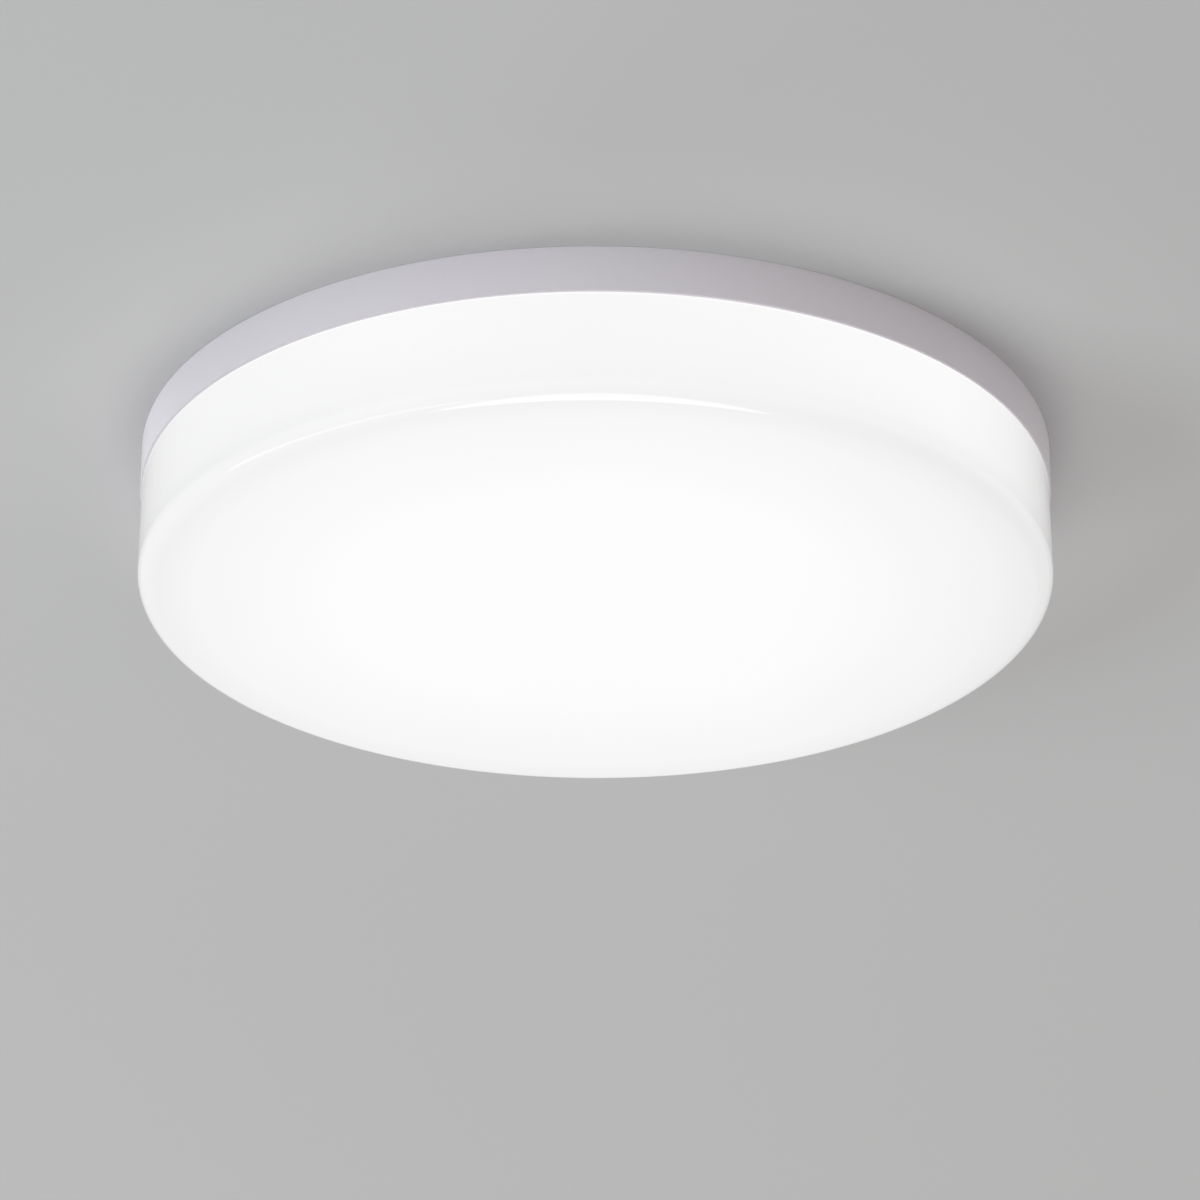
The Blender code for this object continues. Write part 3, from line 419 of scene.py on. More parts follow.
metals = {  # colour, streaks' scale, cloud
    "brass": ((0.72, 0.54, 0.26), 1100.0, 0.14),
    "zincSteel": ((0.63, 0.64, 0.65), 900.0, 0.12),
}
foam = {  # closed cells: small pits of several sizes
    "colour": (0.045, 0.045, 0.046),
    "roughness": 0.95,
    "specular": 0.25,
    "pitScale": 1500.0,
    "pitShare": 0.7,
    "lumpScale": 600.0,
    "heights": (0.5, 1.3),
    "tones": (0.55, 1.35),
    "depth": 0.00022,
}


def mouldedSkin(tree, colour, roughness, grain, depth, drift, speck):
    inputs = {"Grain Scale": grain, "Drift": drift, "Speck": speck}
    skin = put(tree, "ShaderNodeGroup", inputs, node_tree=mouldGrain).outputs
    return surface(tree, toned(tree, colour, skin["Tone"]), roughness, skin["Height"], depth)


def metalSkin(tree, colour, streak, cloud):
    inputs = {"Streak": streak, "Cloud": cloud}
    worn = put(tree, "ShaderNodeGroup", inputs, node_tree=metalWear).outputs
    colour = toned(tree, colour, worn["Tone"])
    skin = surface(tree, colour, worn["Roughness"], worn["Height"], wear["depth"])
    return {"Metallic": 1.0, **skin}


def foamSkin(tree):
    place = placeOf(tree)
    inputs = {"Vector": place, "Scale": foam["pitScale"], "Randomness": 1.0}
    pits = put(tree, "ShaderNodeTexVoronoi", inputs, feature="SMOOTH_F1").outputs["Distance"]
    lumps = noise(tree, place, foam["lumpScale"], detail=3.0)
    height = maths(tree, "MULTIPLY_ADD", pits, foam["pitShare"], lumps)
    tone = span(tree, height, foam["heights"], foam["tones"], smooth=False)
    colour = toned(tree, foam["colour"], tone)
    skin = surface(tree, colour, foam["roughness"], height, foam["depth"])
    return {"Specular IOR Level": foam["specular"], **skin}


for name, values in moulded.items():
    newFinish(name, mouldedSkin, *values)
for name, values in metals.items():
    newFinish(name, metalSkin, *values)
newFinish("blackFoam", foamSkin)
print("plain finishes made")


# Opal cover
cover = {
    "wall": 0.0018,
    "rollWidth": 0.0063,
    "rollHeight": 0.0052,
    "rollSteps": 16,
    "innerRollSteps": 8,
    "topRadius": 0.15025,
    "topEdge": 0.0002,
    "shoulderWall": 0.0022,
    "shoulderSlope": 0.0020,
    "tongueOuter": 0.1485,
    "tongueInner": 0.1467,
    "tongueEdge": 0.0004,
    "facetDip": 0.0002,  # a facet's middle lies less than this inside its radius
    "lugInner": 0.1435,
    "lugTop": -0.0072,
    "lugFace": -0.0100,
    "lugAngle": radians(14),
    "seam": -0.0159,
    "acrylic": {
        "Base Color": (0.246, 0.2375, 0.24, 1.0),
        "Roughness": 0.35,
        "Specular IOR Level": 0.0,
        "Coat Weight": 1.0,
        "Coat Roughness": 0.08,
        "Coat IOR": 1.49,
        "Emission Strength": 1.0,
    },
    # glow over the flat face, from its middle to the rim
    "faceGlow": ((0.0, 0.825), (0.55, 0.820), (0.72, 0.79), (0.88, 0.770), (1.0, 0.70)),
    # glow up the wall, from the face to the seam
    "wallGlow": ((0.0, 0.82), (0.15, 0.84), (0.55, 0.866), (0.978, 0.876), (0.992, 0.965)),
    "rollGlow": 0.0002,  # from here up the roll, the wall's glow takes over
    # painted light and shade on the glow, from the -X side to the +X side
    "faceLean": ((0.0, 0.965), (0.12, 0.990), (0.25, 1.0), (0.70, 1.0), (0.88, 0.970), (0.95, 0.938),
                 (1.0, 0.925)),
    "wallLean": ((0.0, 0.865), (0.05, 0.878), (0.12, 0.869), (0.34, 0.894), (0.50, 0.907),
                 (0.67, 0.94), (0.87, 1.0), (0.95, 0.982), (1.0, 0.885)),
    # painted shade on the glow at the lower end of the wall, darker toward both sides
    "lowShade": ((0.0, 0.97), (0.10, 0.97), (0.30, 1.0), (0.70, 1.0), (0.79, 0.978), (0.87, 0.955),
                (0.95, 0.972), (1.0, 0.97)),
    "lowEnd": (-0.0385, -0.0460),
    "driftScale": 9.0,
    "drift": (0.994, 1.006),
}


def opalSkin(tree):
    low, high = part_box("diffuser")
    face, radius = low.z, high.x
    place = placeOf(tree)
    axes = axesOf(tree, place)
    out = span(tree, reachOf(tree, axes), (0.0, radius), smooth=False)
    up = span(tree, axes["Z"], (face, cover["seam"]), smooth=False)
    across = span(tree, axes["X"], (-radius, radius), smooth=False)
    side = span(tree, axes["Z"], (face + cover["rollGlow"], face + cover["rollHeight"]))
    # painted shade: the glow darkened at the lower end of the wall, more toward the sides
    lowEnd = span(tree, axes["Z"], cover["lowEnd"])
    lowShade = blended(tree, lowEnd, grey(1.0), rampOf(tree, across, cover["lowShade"]))
    # painted light and shade: the glow made lighter or darker from side to side
    lean = blended(tree, 1.0, rampOf(tree, across, cover["wallLean"]), lowShade, "MULTIPLY")
    lean = blended(tree, side, rampOf(tree, across, cover["faceLean"]), lean)
    glow = rampOf(tree, up, cover["wallGlow"])
    glow = blended(tree, side, rampOf(tree, out, cover["faceGlow"]), glow)
    drift = mottle(tree, noise(tree, place, cover["driftScale"], detail=1.0), cover["drift"])
    lit = toned(tree, glow, maths(tree, "MULTIPLY", lean, drift))
    return {**cover["acrylic"], "Emission Color": lit}


def isLug(face):
    middle = face.calc_center_median()
    dip = abs(middle.to_2d().length - cover["tongueInner"])
    quarter = atan2(middle.y, middle.x) % (pi / 2) - pi / 4
    inside = cover["lugFace"] < middle.z < cover["lugTop"]
    return inside and dip < cover["facetDip"] and abs(quarter) < cover["lugAngle"] / 2


def makeCover():
    low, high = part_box("diffuser")
    face, radius = low.z, high.x
    wall, width, height = cover["wall"], cover["rollWidth"], cover["rollHeight"]
    start, seam = face + height, cover["seam"]
    shoulder = seam - cover["shoulderWall"]
    outer, inner = cover["tongueOuter"], cover["tongueInner"]
    topRadius, edge = cover["topRadius"], cover["tongueEdge"]
    steps = cover["innerRollSteps"]
    innerRoll = quarterRoll(width - wall, height - wall, (radius - wall, start), steps)
    top = [(topRadius, start), (topRadius, seam), (outer, seam)]
    top += [(outer, high.z), (inner, high.z), (inner, start)]
    top = roundedOutline(top, (0, cover["topEdge"], 0, edge, edge, 0))
    top = [corner for corner in top if corner[1] > start + weld]
    if top[0][0] < top[-1][0]:
        top.reverse()
    outline = [
        *reversed(list(innerRoll)),
        (topRadius - wall, shoulder - cover["shoulderSlope"]),
        (inner, shoulder),
        (inner, cover["lugFace"]),
        (inner, cover["lugTop"]),
        *reversed(top),
        *quarterRoll(width, height, (radius, start), cover["rollSteps"]),
        (0, face),
        (0, face + wall),
    ]
    bm = spunShape(outline)
    lugs = [lugFace for lugFace in bm.faces if isLug(lugFace)]
    moved = vertsOf(bmesh.ops.extrude_face_region(bm, geom=lugs))
    share = cover["lugInner"] / inner
    bmesh.ops.scale(bm, verts=moved, vec=(share, share, 1))
    newFinish("opalAcrylic", opalSkin)
    mesh = closedMesh("opal_cover", bm)
    newPiece("opal_cover", mesh, ["opalAcrylic"], "diffuser", "cover")


makeCover()
print("opal cover made")


# Base pan
pan = {
    "floor": -0.0024,
    "root": -0.0019,  # inside the floor, where what stands on it starts
    "seam": -0.0156,
    "skirtWall": 0.0020,
    "ceilingEdge": 0.0007,
    "seamEdge": 0.00025,
    "collar": (0.1411, 0.1431, -0.0135),  # inside, outside, lower edge
    "collarEdge": 0.0005,
    "groove": (0.1349, 0.1419, -0.0012),  # inside, outside, its bottom
    "grooveEdge": 0.0003,
    "ledge": (0.1421, 0.1463, -0.0127, -0.0103),  # inside, outside, low, high
    "ledgeTurn": radians(-8),  # from a bayonet's middle
    "ledgeSweep": radians(17.4),
    "ledgeSteps": 16,
    "stop": (0.1426, 0.1460, -0.0115, -0.0058),
    "stopTurns": (radians(7.117), radians(-28.317)),
    "stopSweep": radians(1.2),
    "stopSteps": 2,
    "gussetOutline": ((0.1251, -0.0019), (0.1416, -0.0019), (0.1416, -0.0089), (0.1251, -0.0034)),
    "gussetWall": 0.0016,
    "gussets": 12,
    "bossRadius": 0.0040,
    "bossFillet": 0.0008,
    "bossEdge": 0.0003,
    "pilotRadius": 0.00165,
    "bosses": {  # by the screw in it: seat, top of the pilot hole
        "led_board_screw": (-0.0178, -0.0102),
        "driver_screw": (-0.0058, -0.0018),
        "cord_clamp_screw": (-0.0074, -0.0034),
    },
    "pad": (0.0150, 0.0240, -0.0054),  # width, length, face
    "slot": (0.0050, 0.0140, 0.126),  # width, length, distance from the middle
    "slotEdge": 0.0004,
    "plinth": (0.0280, 0.0190, -0.0054),  # width, length, face
    "plinthEdge": (0.0008, 3),  # width, segments
    "plinthPilot": -0.0014,  # top of its pilot hole
    "entry": (0.0073, 0.0110, -0.0012),  # hole, recess, the recess's bottom
    "entryEdge": 0.0003,
    "roughness": 0.5,
    "sheen": {"Sheen Weight": 0.6, "Sheen Roughness": 0.3},
    "colour": (0.754, 0.708, 0.754),
    "tones": (1.03, 0.965),  # from the seam up to the ceiling, darker toward the ceiling: painted shade
    "seamShadeTone": 0.86,  # the edge at the seam, painted darker: painted shade
    "seamShade": (-0.01558, -0.01530),
    "grain": {"Grain Scale": 1900.0, "Drift": 0.03, "Speck": 0.05},
    "grainDepth": 0.00004,
}


def panSkin(tree):  # its fine grain scatters more light where the wall turns away
    grain = put(tree, "ShaderNodeGroup", pan["grain"], node_tree=mouldGrain).outputs
    height = axesOf(tree, placeOf(tree))["Z"]
    # painted shade: the pan darker up toward the ceiling and lighter down at the seam
    tone = span(tree, height, (pan["seam"], 0.0), pan["tones"], smooth=False)
    # painted shade: the edge at the seam made darker
    seamShading = span(tree, height, pan["seamShade"], (pan["seamShadeTone"], 1.0))
    tone = maths(tree, "MULTIPLY", maths(tree, "MULTIPLY", tone, seamShading), grain["Tone"])
    colour = toned(tree, pan["colour"], tone)
    skin = surface(tree, colour, pan["roughness"], grain["Height"], pan["grainDepth"])
    return {**pan["sheen"], **skin}


def panBody():
    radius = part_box("base_pan")[1].x
    inner = radius - pan["skirtWall"]
    collar, groove, floor = pan["collar"], pan["groove"], pan["floor"]
    outline = [(0, 0), (groove[0], 0), (groove[0], groove[2]), (groove[1], groove[2])]
    outline += [(groove[1], 0), (radius, 0), (radius, pan["seam"]), (inner, pan["seam"])]
    outline += [(inner, floor), (collar[1], floor), (collar[1], collar[2])]
    outline += [(collar[0], collar[2]), (collar[0], floor), (0, floor)]
    soft, seam, edge = pan["grooveEdge"], pan["seamEdge"], pan["collarEdge"]
    radii = (0, soft, 0, 0, soft, pan["ceilingEdge"], seam, seam, 0, 0, edge, edge, 0, 0)
    return spunShape(roundedOutline(outline, radii))


def panBosses():  # with a fillet of two facets at the floor, and the pads of the ceiling screws
    bm = bmesh.new()
    floor, root, edge = pan["floor"], pan["root"], pan["bossEdge"]
    radius, fillet = pan["bossRadius"], pan["bossFillet"]
    foot, third = radius + fillet, fillet / 3
    for kind, (seat, _) in pan["bosses"].items():
        outline = [(0, root), (foot, root), (foot, floor), (radius + third, floor - third)]
        outline += [(radius, floor - fillet), (radius, seat + edge), (radius - edge, seat), (0, seat)]
        for place in screwPlaces(kind):
            spinOutline(bm, outline, postSteps, (*place, 0))
    width, length, face = pan["pad"]
    for side in (-1, 1):
        addOblong(bm, width, length, face, root, (side * pan["slot"][2], 0))
    return bm


def panPlinth():
    width, length, face = pan["plinth"]
    middle = middleOf("terminal_block")
    middle.z = (face + pan["root"]) / 2
    bm = blockShape((width, length, pan["root"] - face), middle)
    bevelled(bm, upright(bm), *pan["plinthEdge"])
    return bm


def panBayonets():  # ledges for the cover's lugs, and the stops at both ends of their turn
    ledges, stops = bmesh.new(), bmesh.new()
    for quarter in range(4):
        middle = pi / 4 + pi / 2 * quarter
        start = middle + pan["ledgeTurn"]
        spinSector(ledges, *pan["ledge"], start, pan["ledgeSweep"], pan["ledgeSteps"])
        for turn in pan["stopTurns"]:
            spinSector(stops, *pan["stop"], middle + turn, pan["stopSweep"], pan["stopSteps"])
    return ledges, stops


def panGussets():
    bm = bmesh.new()
    wall = pan["gussetWall"]
    for step in range(pan["gussets"]):
        side = bm.faces.new([bm.verts.new((x, -wall / 2, z)) for x, z in pan["gussetOutline"]])
        moved = vertsOf(bmesh.ops.extrude_face_region(bm, geom=[side], use_keep_orig=True))
        bmesh.ops.translate(bm, verts=moved, vec=(0, wall, 0))
        turn = Matrix.Rotation(tau * (step + 0.5) / pan["gussets"], 3, "Z")
        bmesh.ops.rotate(bm, cent=(0, 0, 0), matrix=turn, verts=[*side.verts, *moved])
    return bm


def panHoles():
    bm = bmesh.new()
    radius = pan["pilotRadius"]
    for kind, (seat, top) in pan["bosses"].items():
        for place in screwPlaces(kind):
            addPost(bm, radius, seat - overrun, top, place)
    place = middleOf("terminal_fixing_screw").to_2d()
    addPost(bm, radius, pan["plinth"][2] - overrun, pan["plinthPilot"], place)
    return bm


def panSlots():  # through the pads, and flared at the back
    slots, flares = bmesh.new(), bmesh.new()
    width, length, reach = pan["slot"]
    edge = pan["slotEdge"]
    for side in (-1, 1):
        centre = Vector((side * reach, 0))
        addOblong(slots, width, length, pan["pad"][2] - overrun, overrun, centre)
        for vert in addOblong(flares, width, length, -edge, overrun, centre):
            if vert.co.z > 0:
                out = vert.co.xy - centre
                out.y -= copysign(min(abs(out.y), (length - width) / 2), out.y)
                vert.co.xy += out.normalized() * (edge + overrun)
    return slots, flares


def panEntry():
    hole, recess, bottom = pan["entry"]
    edge, through = pan["entryEdge"], pan["floor"] - overrun
    place = middleOf("cable_grommet").to_2d()
    outline = [(0, overrun), (recess + edge, overrun), (recess + edge, 0), (recess, -edge)]
    outline += [(recess, bottom), (hole, bottom), (hole, through), (0, through)]
    return spunShape(outline, 2 * postSteps, (*place, 0))


def makePan():
    newFinish("panWhite", panSkin)
    joins = (*panBayonets(), panGussets(), panBosses(), panPlinth())
    mesh = joined("base_tray", panBody(), joins, (panHoles(), *panSlots(), panEntry()))
    newPiece("base_tray", mesh, ["panWhite"], "base_pan")


makePan()
print("base pan made")


# Rings on the base's axis: foam behind it, silicone under the cover's tongue
rings = {  # node, finish, slot, width, edge
    "foam_gasket": ("back_gasket", "blackFoam", "black_foam", 0.0064, 0.0003),
    "silicone_seal": ("seal_ring", "greySilicone", "grey_silicone", 0.0032, 0.0008),
}


def makeRings():
    for name, (node, finish, slot, width, edge) in rings.items():
        low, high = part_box(node)
        outer, inner = high.x, high.x - width
        outline = ((inner, low.z), (outer, low.z), (outer, high.z), (inner, high.z))
        bm = spunShape(roundedOutline(outline, (edge,) * 4))
        newPiece(name, closedMesh(name, bm), [finish], node)


# Cable grommet
grommet = {"bore": 0.0042, "neck": 0.0070, "flangeFace": -0.0009, "lipTop": -0.0027, "edge": 0.0004}


def makeGrommet():
    low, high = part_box("cable_grommet")
    size, middle = boxed("cable_grommet")
    flange, face, lip = size.x / 2, grommet["flangeFace"], grommet["lipTop"]
    bore, neck, edge = grommet["bore"], grommet["neck"], grommet["edge"]
    outline = [(bore, high.z), (flange, high.z), (flange, face), (neck, face)]
    outline += [(neck, lip), (flange, lip), (flange, low.z), (bore, low.z)]
    radii = (edge, edge / 2, 0, 0, 0, edge / 2, 2 * edge, 2 * edge)
    bm = spunShape(roundedOutline(outline, radii), 2 * postSteps, (*middle.to_2d(), 0))
    mesh = closedMesh("rubber_grommet", bm)
    newPiece("rubber_grommet", mesh, ["blackRubber"], "cable_grommet")


makeRings()
makeGrommet()
print("rings and grommet made")


# Screws: a head with a cross or a slot, and a shank with thread ridges
screwKinds = {  # head's height, how far each is turned, whether it has a slot
    "cord_clamp_screw": (0.0020, (25, 70), False),
    "driver_screw": (0.0020, (10, 52), False),
    "led_board_screw": (0.0020, (12, 40, 77, 5, 61), False),
    "terminal_fixing_screw": (0.0020, (33,), False),
    "live_terminal_screw": (0.0017, (20, 48), True),
    "neutral_terminal_screw": (0.0017, (71, 8), True),
}
screw = {
    "steps": 24,
    "shankShare": 0.466,  # of the head's radius
    "pitch": 0.0009,
    "ridge": 0.00022,
    "ridgeShare": 0.45,  # of the pitch
    "tip": 0.0012,
    "tipShare": 0.35,  # of the shank's radius
    "headEdge": 0.0001,
    "crownShares": ((1.0, 0.58), (0.93, 0.30), (0.76, 0.11), (0.52, 0.02)),  # radius, height
    "slotWidth": 0.0007,
    "crossReach": 0.0030,
    "recessShare": 0.55,  # of the head's height
}


def screwShape(size, head, slotted):
    length, radius, edge = size.z, size.x / 2, screw["headEdge"]
    shank = radius * screw["shankShare"]
    root = shank - screw["ridge"]
    outline = [(0, length), (shank * screw["tipShare"], length)]
    z = length - screw["tip"]
    while z > head + 2 * screw["pitch"]:
        outline += [(shank, z), (root, z - screw["pitch"] * screw["ridgeShare"])]
        z -= screw["pitch"]
    outline += [(root, head), (radius - edge, head), (radius, head - edge)]
    outline += [(radius * out, head * up) for out, up in screw["crownShares"]]
    outline.append((0, 0))
    depth = head * screw["recessShare"]
    width, reach = screw["slotWidth"], screw["crossReach"]
    slots = [(3 * radius, width)] if slotted else [(reach, width), (width, reach)]
    cuts = [blockShape((*slot, 2 * depth), (0, 0, 0)) for slot in slots]
    return joined("screw", spunShape(outline, screw["steps"]), cuts=cuts)


def makeScrews():
    for family, (head, turns, slotted) in screwKinds.items():
        found = [node for node in sorted(nodes) if node.startswith(family)]
        shape = screwShape(boxed(found[0])[0], head, slotted)
        for node, turn in zip(found, turns):
            place = middleOf(node)
            place.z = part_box(node)[0].z
            mesh = shape.copy()
            turned = Matrix.Rotation(radians(turn), 4, "Z")
            mesh.transform(Matrix.Translation(place) @ turned)
            newPiece(node + "_turned", mesh, ["zincSteel"], node)


makeScrews()
print("screws made")


# Cord clamp: a bar with a ribbed arch
clamp = {
    "corner": (0.0012, 4),  # width, segments
    "edge": 0.0004,
    "arch": 0.0044,
    "archDepth": 0.0025,
    "archSteps": 48,
    "ribs": 4,
    "rib": 0.0003,
    "hole": 0.0018,
}


def clampArch(reach):  # a ribbed rod along Y
    radius, rib = clamp["arch"], clamp["rib"]
    outline = [(0, -reach - overrun), (radius, -reach - overrun)]
    for step in range(clamp["ribs"]):
        centre = reach * (2 * (step + 0.5) / clamp["ribs"] - 1)
        outline += [(radius, centre - 2 * rib), (radius - rib, centre), (radius, centre + 2 * rib)]
    outline += [(radius, reach + overrun), (0, reach + overrun)]
    arch = spunShape(outline, clamp["archSteps"])
    lie = Matrix.Rotation(pi / 2, 3, "X")
    bmesh.ops.rotate(arch, cent=(0, 0, 0), matrix=lie, verts=arch.verts)
    return arch


def makeClamp():
    size, middle = boxed("cord_clamp")
    low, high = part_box("cord_clamp")
    bm = blockShape(size, middle)
    bevelled(bm, upright(bm), *clamp["corner"])
    bevelled(bm, [e for e in level(bm) if e.verts[0].co.z < middle.z], clamp["edge"])
    arch = clampArch(size.y / 2)
    centre = (middle.x, middle.y, high.z + clamp["arch"] - clamp["archDepth"])
    bmesh.ops.translate(arch, verts=arch.verts, vec=centre)
    holes = bmesh.new()
    for place in screwPlaces("cord_clamp_screw"):
        addPost(holes, clamp["hole"], low.z - overrun, high.z + overrun, place)
    mesh = joined("clamp_bar", bm, cuts=(arch, holes))
    newPiece("clamp_bar", mesh, ["clampNylon"], "cord_clamp")


# Terminal block and its barrels
block = {
    "corner": (0.0008, 3),  # width, segments
    "edge": 0.0003,
    "channel": 0.0056,
    "well": 0.0023,
    "fixingWell": 0.0032,
    "fixingDepth": 0.0060,
    "hole": 0.0018,
    "bore": 0.0016,
    "thread": 0.0013,
    "barrelEdge": 0.0003,
}
poles = ("live", "neutral")


def makeTerminalBlock():
    size, middle = boxed("terminal_block")
    low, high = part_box("terminal_block")
    bm = blockShape(size, middle)
    bevelled(bm, upright(bm), *block["corner"])
    bevelled(bm, level(bm), block["edge"])
    channels, wells, hole = bmesh.new(), bmesh.new(), bmesh.new()
    channel = block["channel"]
    for pole in poles:
        barrel = middleOf(pole + "_barrel")
        addBlock(channels, (channel, size.y + 2 * overrun, channel), barrel)
        for place in screwPlaces(pole + "_terminal_screw"):
            addPost(wells, block["well"], low.z - overrun, barrel.z, place)
    fixing = middleOf("terminal_fixing_screw").to_2d()
    addPost(wells, block["fixingWell"], low.z - overrun, low.z + block["fixingDepth"], fixing)
    addPost(hole, block["hole"], low.z, high.z + overrun, fixing)
    mesh = joined("block_body", bm, cuts=(channels, wells, hole))
    newPiece("block_body", mesh, ["terminalNylon"], "terminal_block")


def makeBarrels():
    lie = Matrix.Rotation(pi / 2, 4, "X")
    for pole in poles:
        size, middle = boxed(pole + "_barrel")
        bm = blockShape(size, middle)
        bevelled(bm, list(bm.edges), block["barrelEdge"])
        bore = bmesh.new()
        made = addPost(bore, block["bore"], -size.y, size.y, turn=lie)
        bmesh.ops.translate(bore, verts=made, vec=middle)
        threads = bmesh.new()
        for place in screwPlaces(pole + "_terminal_screw"):
            addPost(threads, block["thread"], middle.z - size.z, middle.z, place)
        mesh = joined(pole + "_clamp", bm, cuts=(bore, threads))
        newPiece(pole + "_clamp", mesh, ["brass"], pole + "_barrel")


makeClamp()
makeTerminalBlock()
makeBarrels()
print("clamp and terminals made")


# Driver's circuit board: solder mask over tracks, and the small parts on it
circuit = {
    "roughness": 0.4,
    "tracks": {
        "Scale": 130.0,
        "Mortar Size": 0.04,
        "Color1": (0.050, 0.200, 0.105, 1.0),
        "Color2": (0.060, 0.235, 0.120, 1.0),
        "Mortar": (0.030, 0.120, 0.062, 1.0),
    },
    "partsLevel": (-0.0072, -0.0076),  # below this lie the small parts
    "partScale": 85.0,
    "partColours": ((0.03, 0.03, 0.035, 1.0), (0.32, 0.24, 0.06, 1.0)),
    "weave": {"Scale": 500.0, "Distortion": 1.5},
    "weaveDepth": 0.000008,
}


def circuitSkin(tree):
    place = placeOf(tree)
    inputs = {"Vector": scaledPlace(tree, place, (1.0, 1.0, 0.0)), **circuit["tracks"]}
    mask = put(tree, "ShaderNodeTexBrick", inputs).outputs["Color"]
    inputs = {"Vector": scaledPlace(tree, place, (1.0, 1.0, 0.3)), "Scale": circuit["partScale"]}
    cell = put(tree, "ShaderNodeTexVoronoi", inputs, feature="F1").outputs["Color"]
    shade = put(tree, "ShaderNodeSeparateColor", {"Color": cell}).outputs["Red"]
    bodies = blended(tree, shade, *circuit["partColours"])
    tall = span(tree, axesOf(tree, place)["Z"], circuit["partsLevel"])
    colour = blended(tree, tall, mask, bodies)
    weave = put(tree, "ShaderNodeTexWave", {"Vector": place, **circuit["weave"]}).outputs["Fac"]
    return surface(tree, colour, circuit["roughness"], weave, circuit["weaveDepth"])


# Transformer: ferrite core, and its taped winding standing out at both ends
winding = {
    "roughness": 0.5,
    "coreEnd": (0.00745, 0.00755),  # from its middle, along Y
    "grainScale": 1600.0,
    "coreTones": (0.045, 0.085),
    "layerScale": 260.0,
    "tape": ((0.62, 0.42, 0.07, 1.0), (0.72, 0.52, 0.12, 1.0)),
    "depth": 0.00002,
}


def windingSkin(tree):
    centred = centredPlace(tree, "transformer")
    taped = span(tree, maths(tree, "ABSOLUTE", axesOf(tree, centred)["Y"]), winding["coreEnd"])
    grain = noise(tree, placeOf(tree), winding["grainScale"], detail=3.0)
    core = mottle(tree, grain, winding["coreTones"])
    inputs = {"Vector": centred, "Scale": winding["layerScale"]}
    layers = put(tree, "ShaderNodeTexWave", inputs, bands_direction="Z").outputs["Fac"]
    colour = blended(tree, taped, core, blended(tree, layers, *winding["tape"]))
    return surface(tree, colour, winding["roughness"], grain, winding["depth"])


# Capacitor: shrunk sleeve with its pale stripe, bare aluminium at the crimped end
can = {
    "steps": 32,
    "edge": 0.0004,
    "rim": ((0.0006, 0.0002), (0.0005, 0), (0.0002, 0.0001), (0, 0.0004)),  # inwards, down
    "crimpPlace": 0.0016,  # from the rim
    "crimp": ((0, 0), (0.00025, 0.00025), (0.00035, 0.0005), (0.00025, 0.00075), (0, 0.0010)),
    "roughness": 0.3,
    "sleeve": (0.03, 0.04, 0.07, 1.0),
    "stripe": (0.55, 0.56, 0.58, 1.0),
    "stripeSide": (0.0008, 0.0007),  # half its width
    "stripeLevel": (-0.0010, -0.0012),  # on the lower half only
    "aluminium": (0.62, 0.63, 0.64, 1.0),
    "bareEnd": (0.0003, 0.0002),  # from both ends
    "metallic": 0.9,
    "driftScale": 400.0,
    "drift": (0.8, 1.2),
}


def sleeveSkin(tree):
    half = boxed("capacitor")[0].x / 2
    axes = axesOf(tree, centredPlace(tree, "capacitor"))
    stripe = span(tree, maths(tree, "ABSOLUTE", axes["Y"]), can["stripeSide"])
    stripe = maths(tree, "MULTIPLY", stripe, span(tree, axes["Z"], can["stripeLevel"]))
    skin = blended(tree, stripe, can["sleeve"], can["stripe"])
    ends = [half - inset for inset in can["bareEnd"]]
    bare = span(tree, maths(tree, "ABSOLUTE", axes["X"]), ends)
    drift = mottle(tree, noise(tree, placeOf(tree), can["driftScale"]), can["drift"])
    return {
        "Base Color": toned(tree, blended(tree, bare, skin, can["aluminium"]), drift),
        "Roughness": can["roughness"],
        "Metallic": maths(tree, "MULTIPLY", bare, can["metallic"]),
    }


def makeCapacitor():
    size, middle = boxed("capacitor")
    half, radius, edge = size.x / 2, size.y / 2, can["edge"]
    crimp = half - can["crimpPlace"]
    outline = [(0, half - edge / 2)]
    outline += [(radius - inwards, half - down) for inwards, down in can["rim"]]
    outline += [(radius - inwards, crimp - down) for inwards, down in can["crimp"]]
    outline += [(radius, edge - half), (radius - edge, -half), (0, -half)]
    bm = spunShape(outline, can["steps"])
    lie = Matrix.Rotation(pi / 2, 3, "Y")
    bmesh.ops.rotate(bm, cent=(0, 0, 0), matrix=lie, verts=bm.verts)
    bmesh.ops.translate(bm, verts=bm.verts, vec=middle)
    mesh = closedMesh("capacitor_can", bm)
    newPiece("capacitor_can", mesh, ["capacitorSleeve"], "capacitor")


# Driver: its case and lid, and what they hold
housed = {  # node, edge, finish, slot
    "driver_tray": ("driver_case", 0.0003, "driverWhite", "driver_polycarbonate"),
    "driver_cover": ("driver_lid", 0.0003, "driverWhite", "driver_polycarbonate"),
    "driver_circuit": ("driver_circuit_board", 0.0002, "circuitBoard", "circuit_laminate"),
    "transformer_core": ("transformer", 0.0002, "ferriteCore", "ferrite"),
}


def makeDriver():
    newFinish("circuitBoard", circuitSkin)
    newFinish("ferriteCore", windingSkin)
    newFinish("capacitorSleeve", sleeveSkin)
    for name, values in housed.items():
        softened(name, *values)
    makeCapacitor()


makeDriver()
print("driver made")


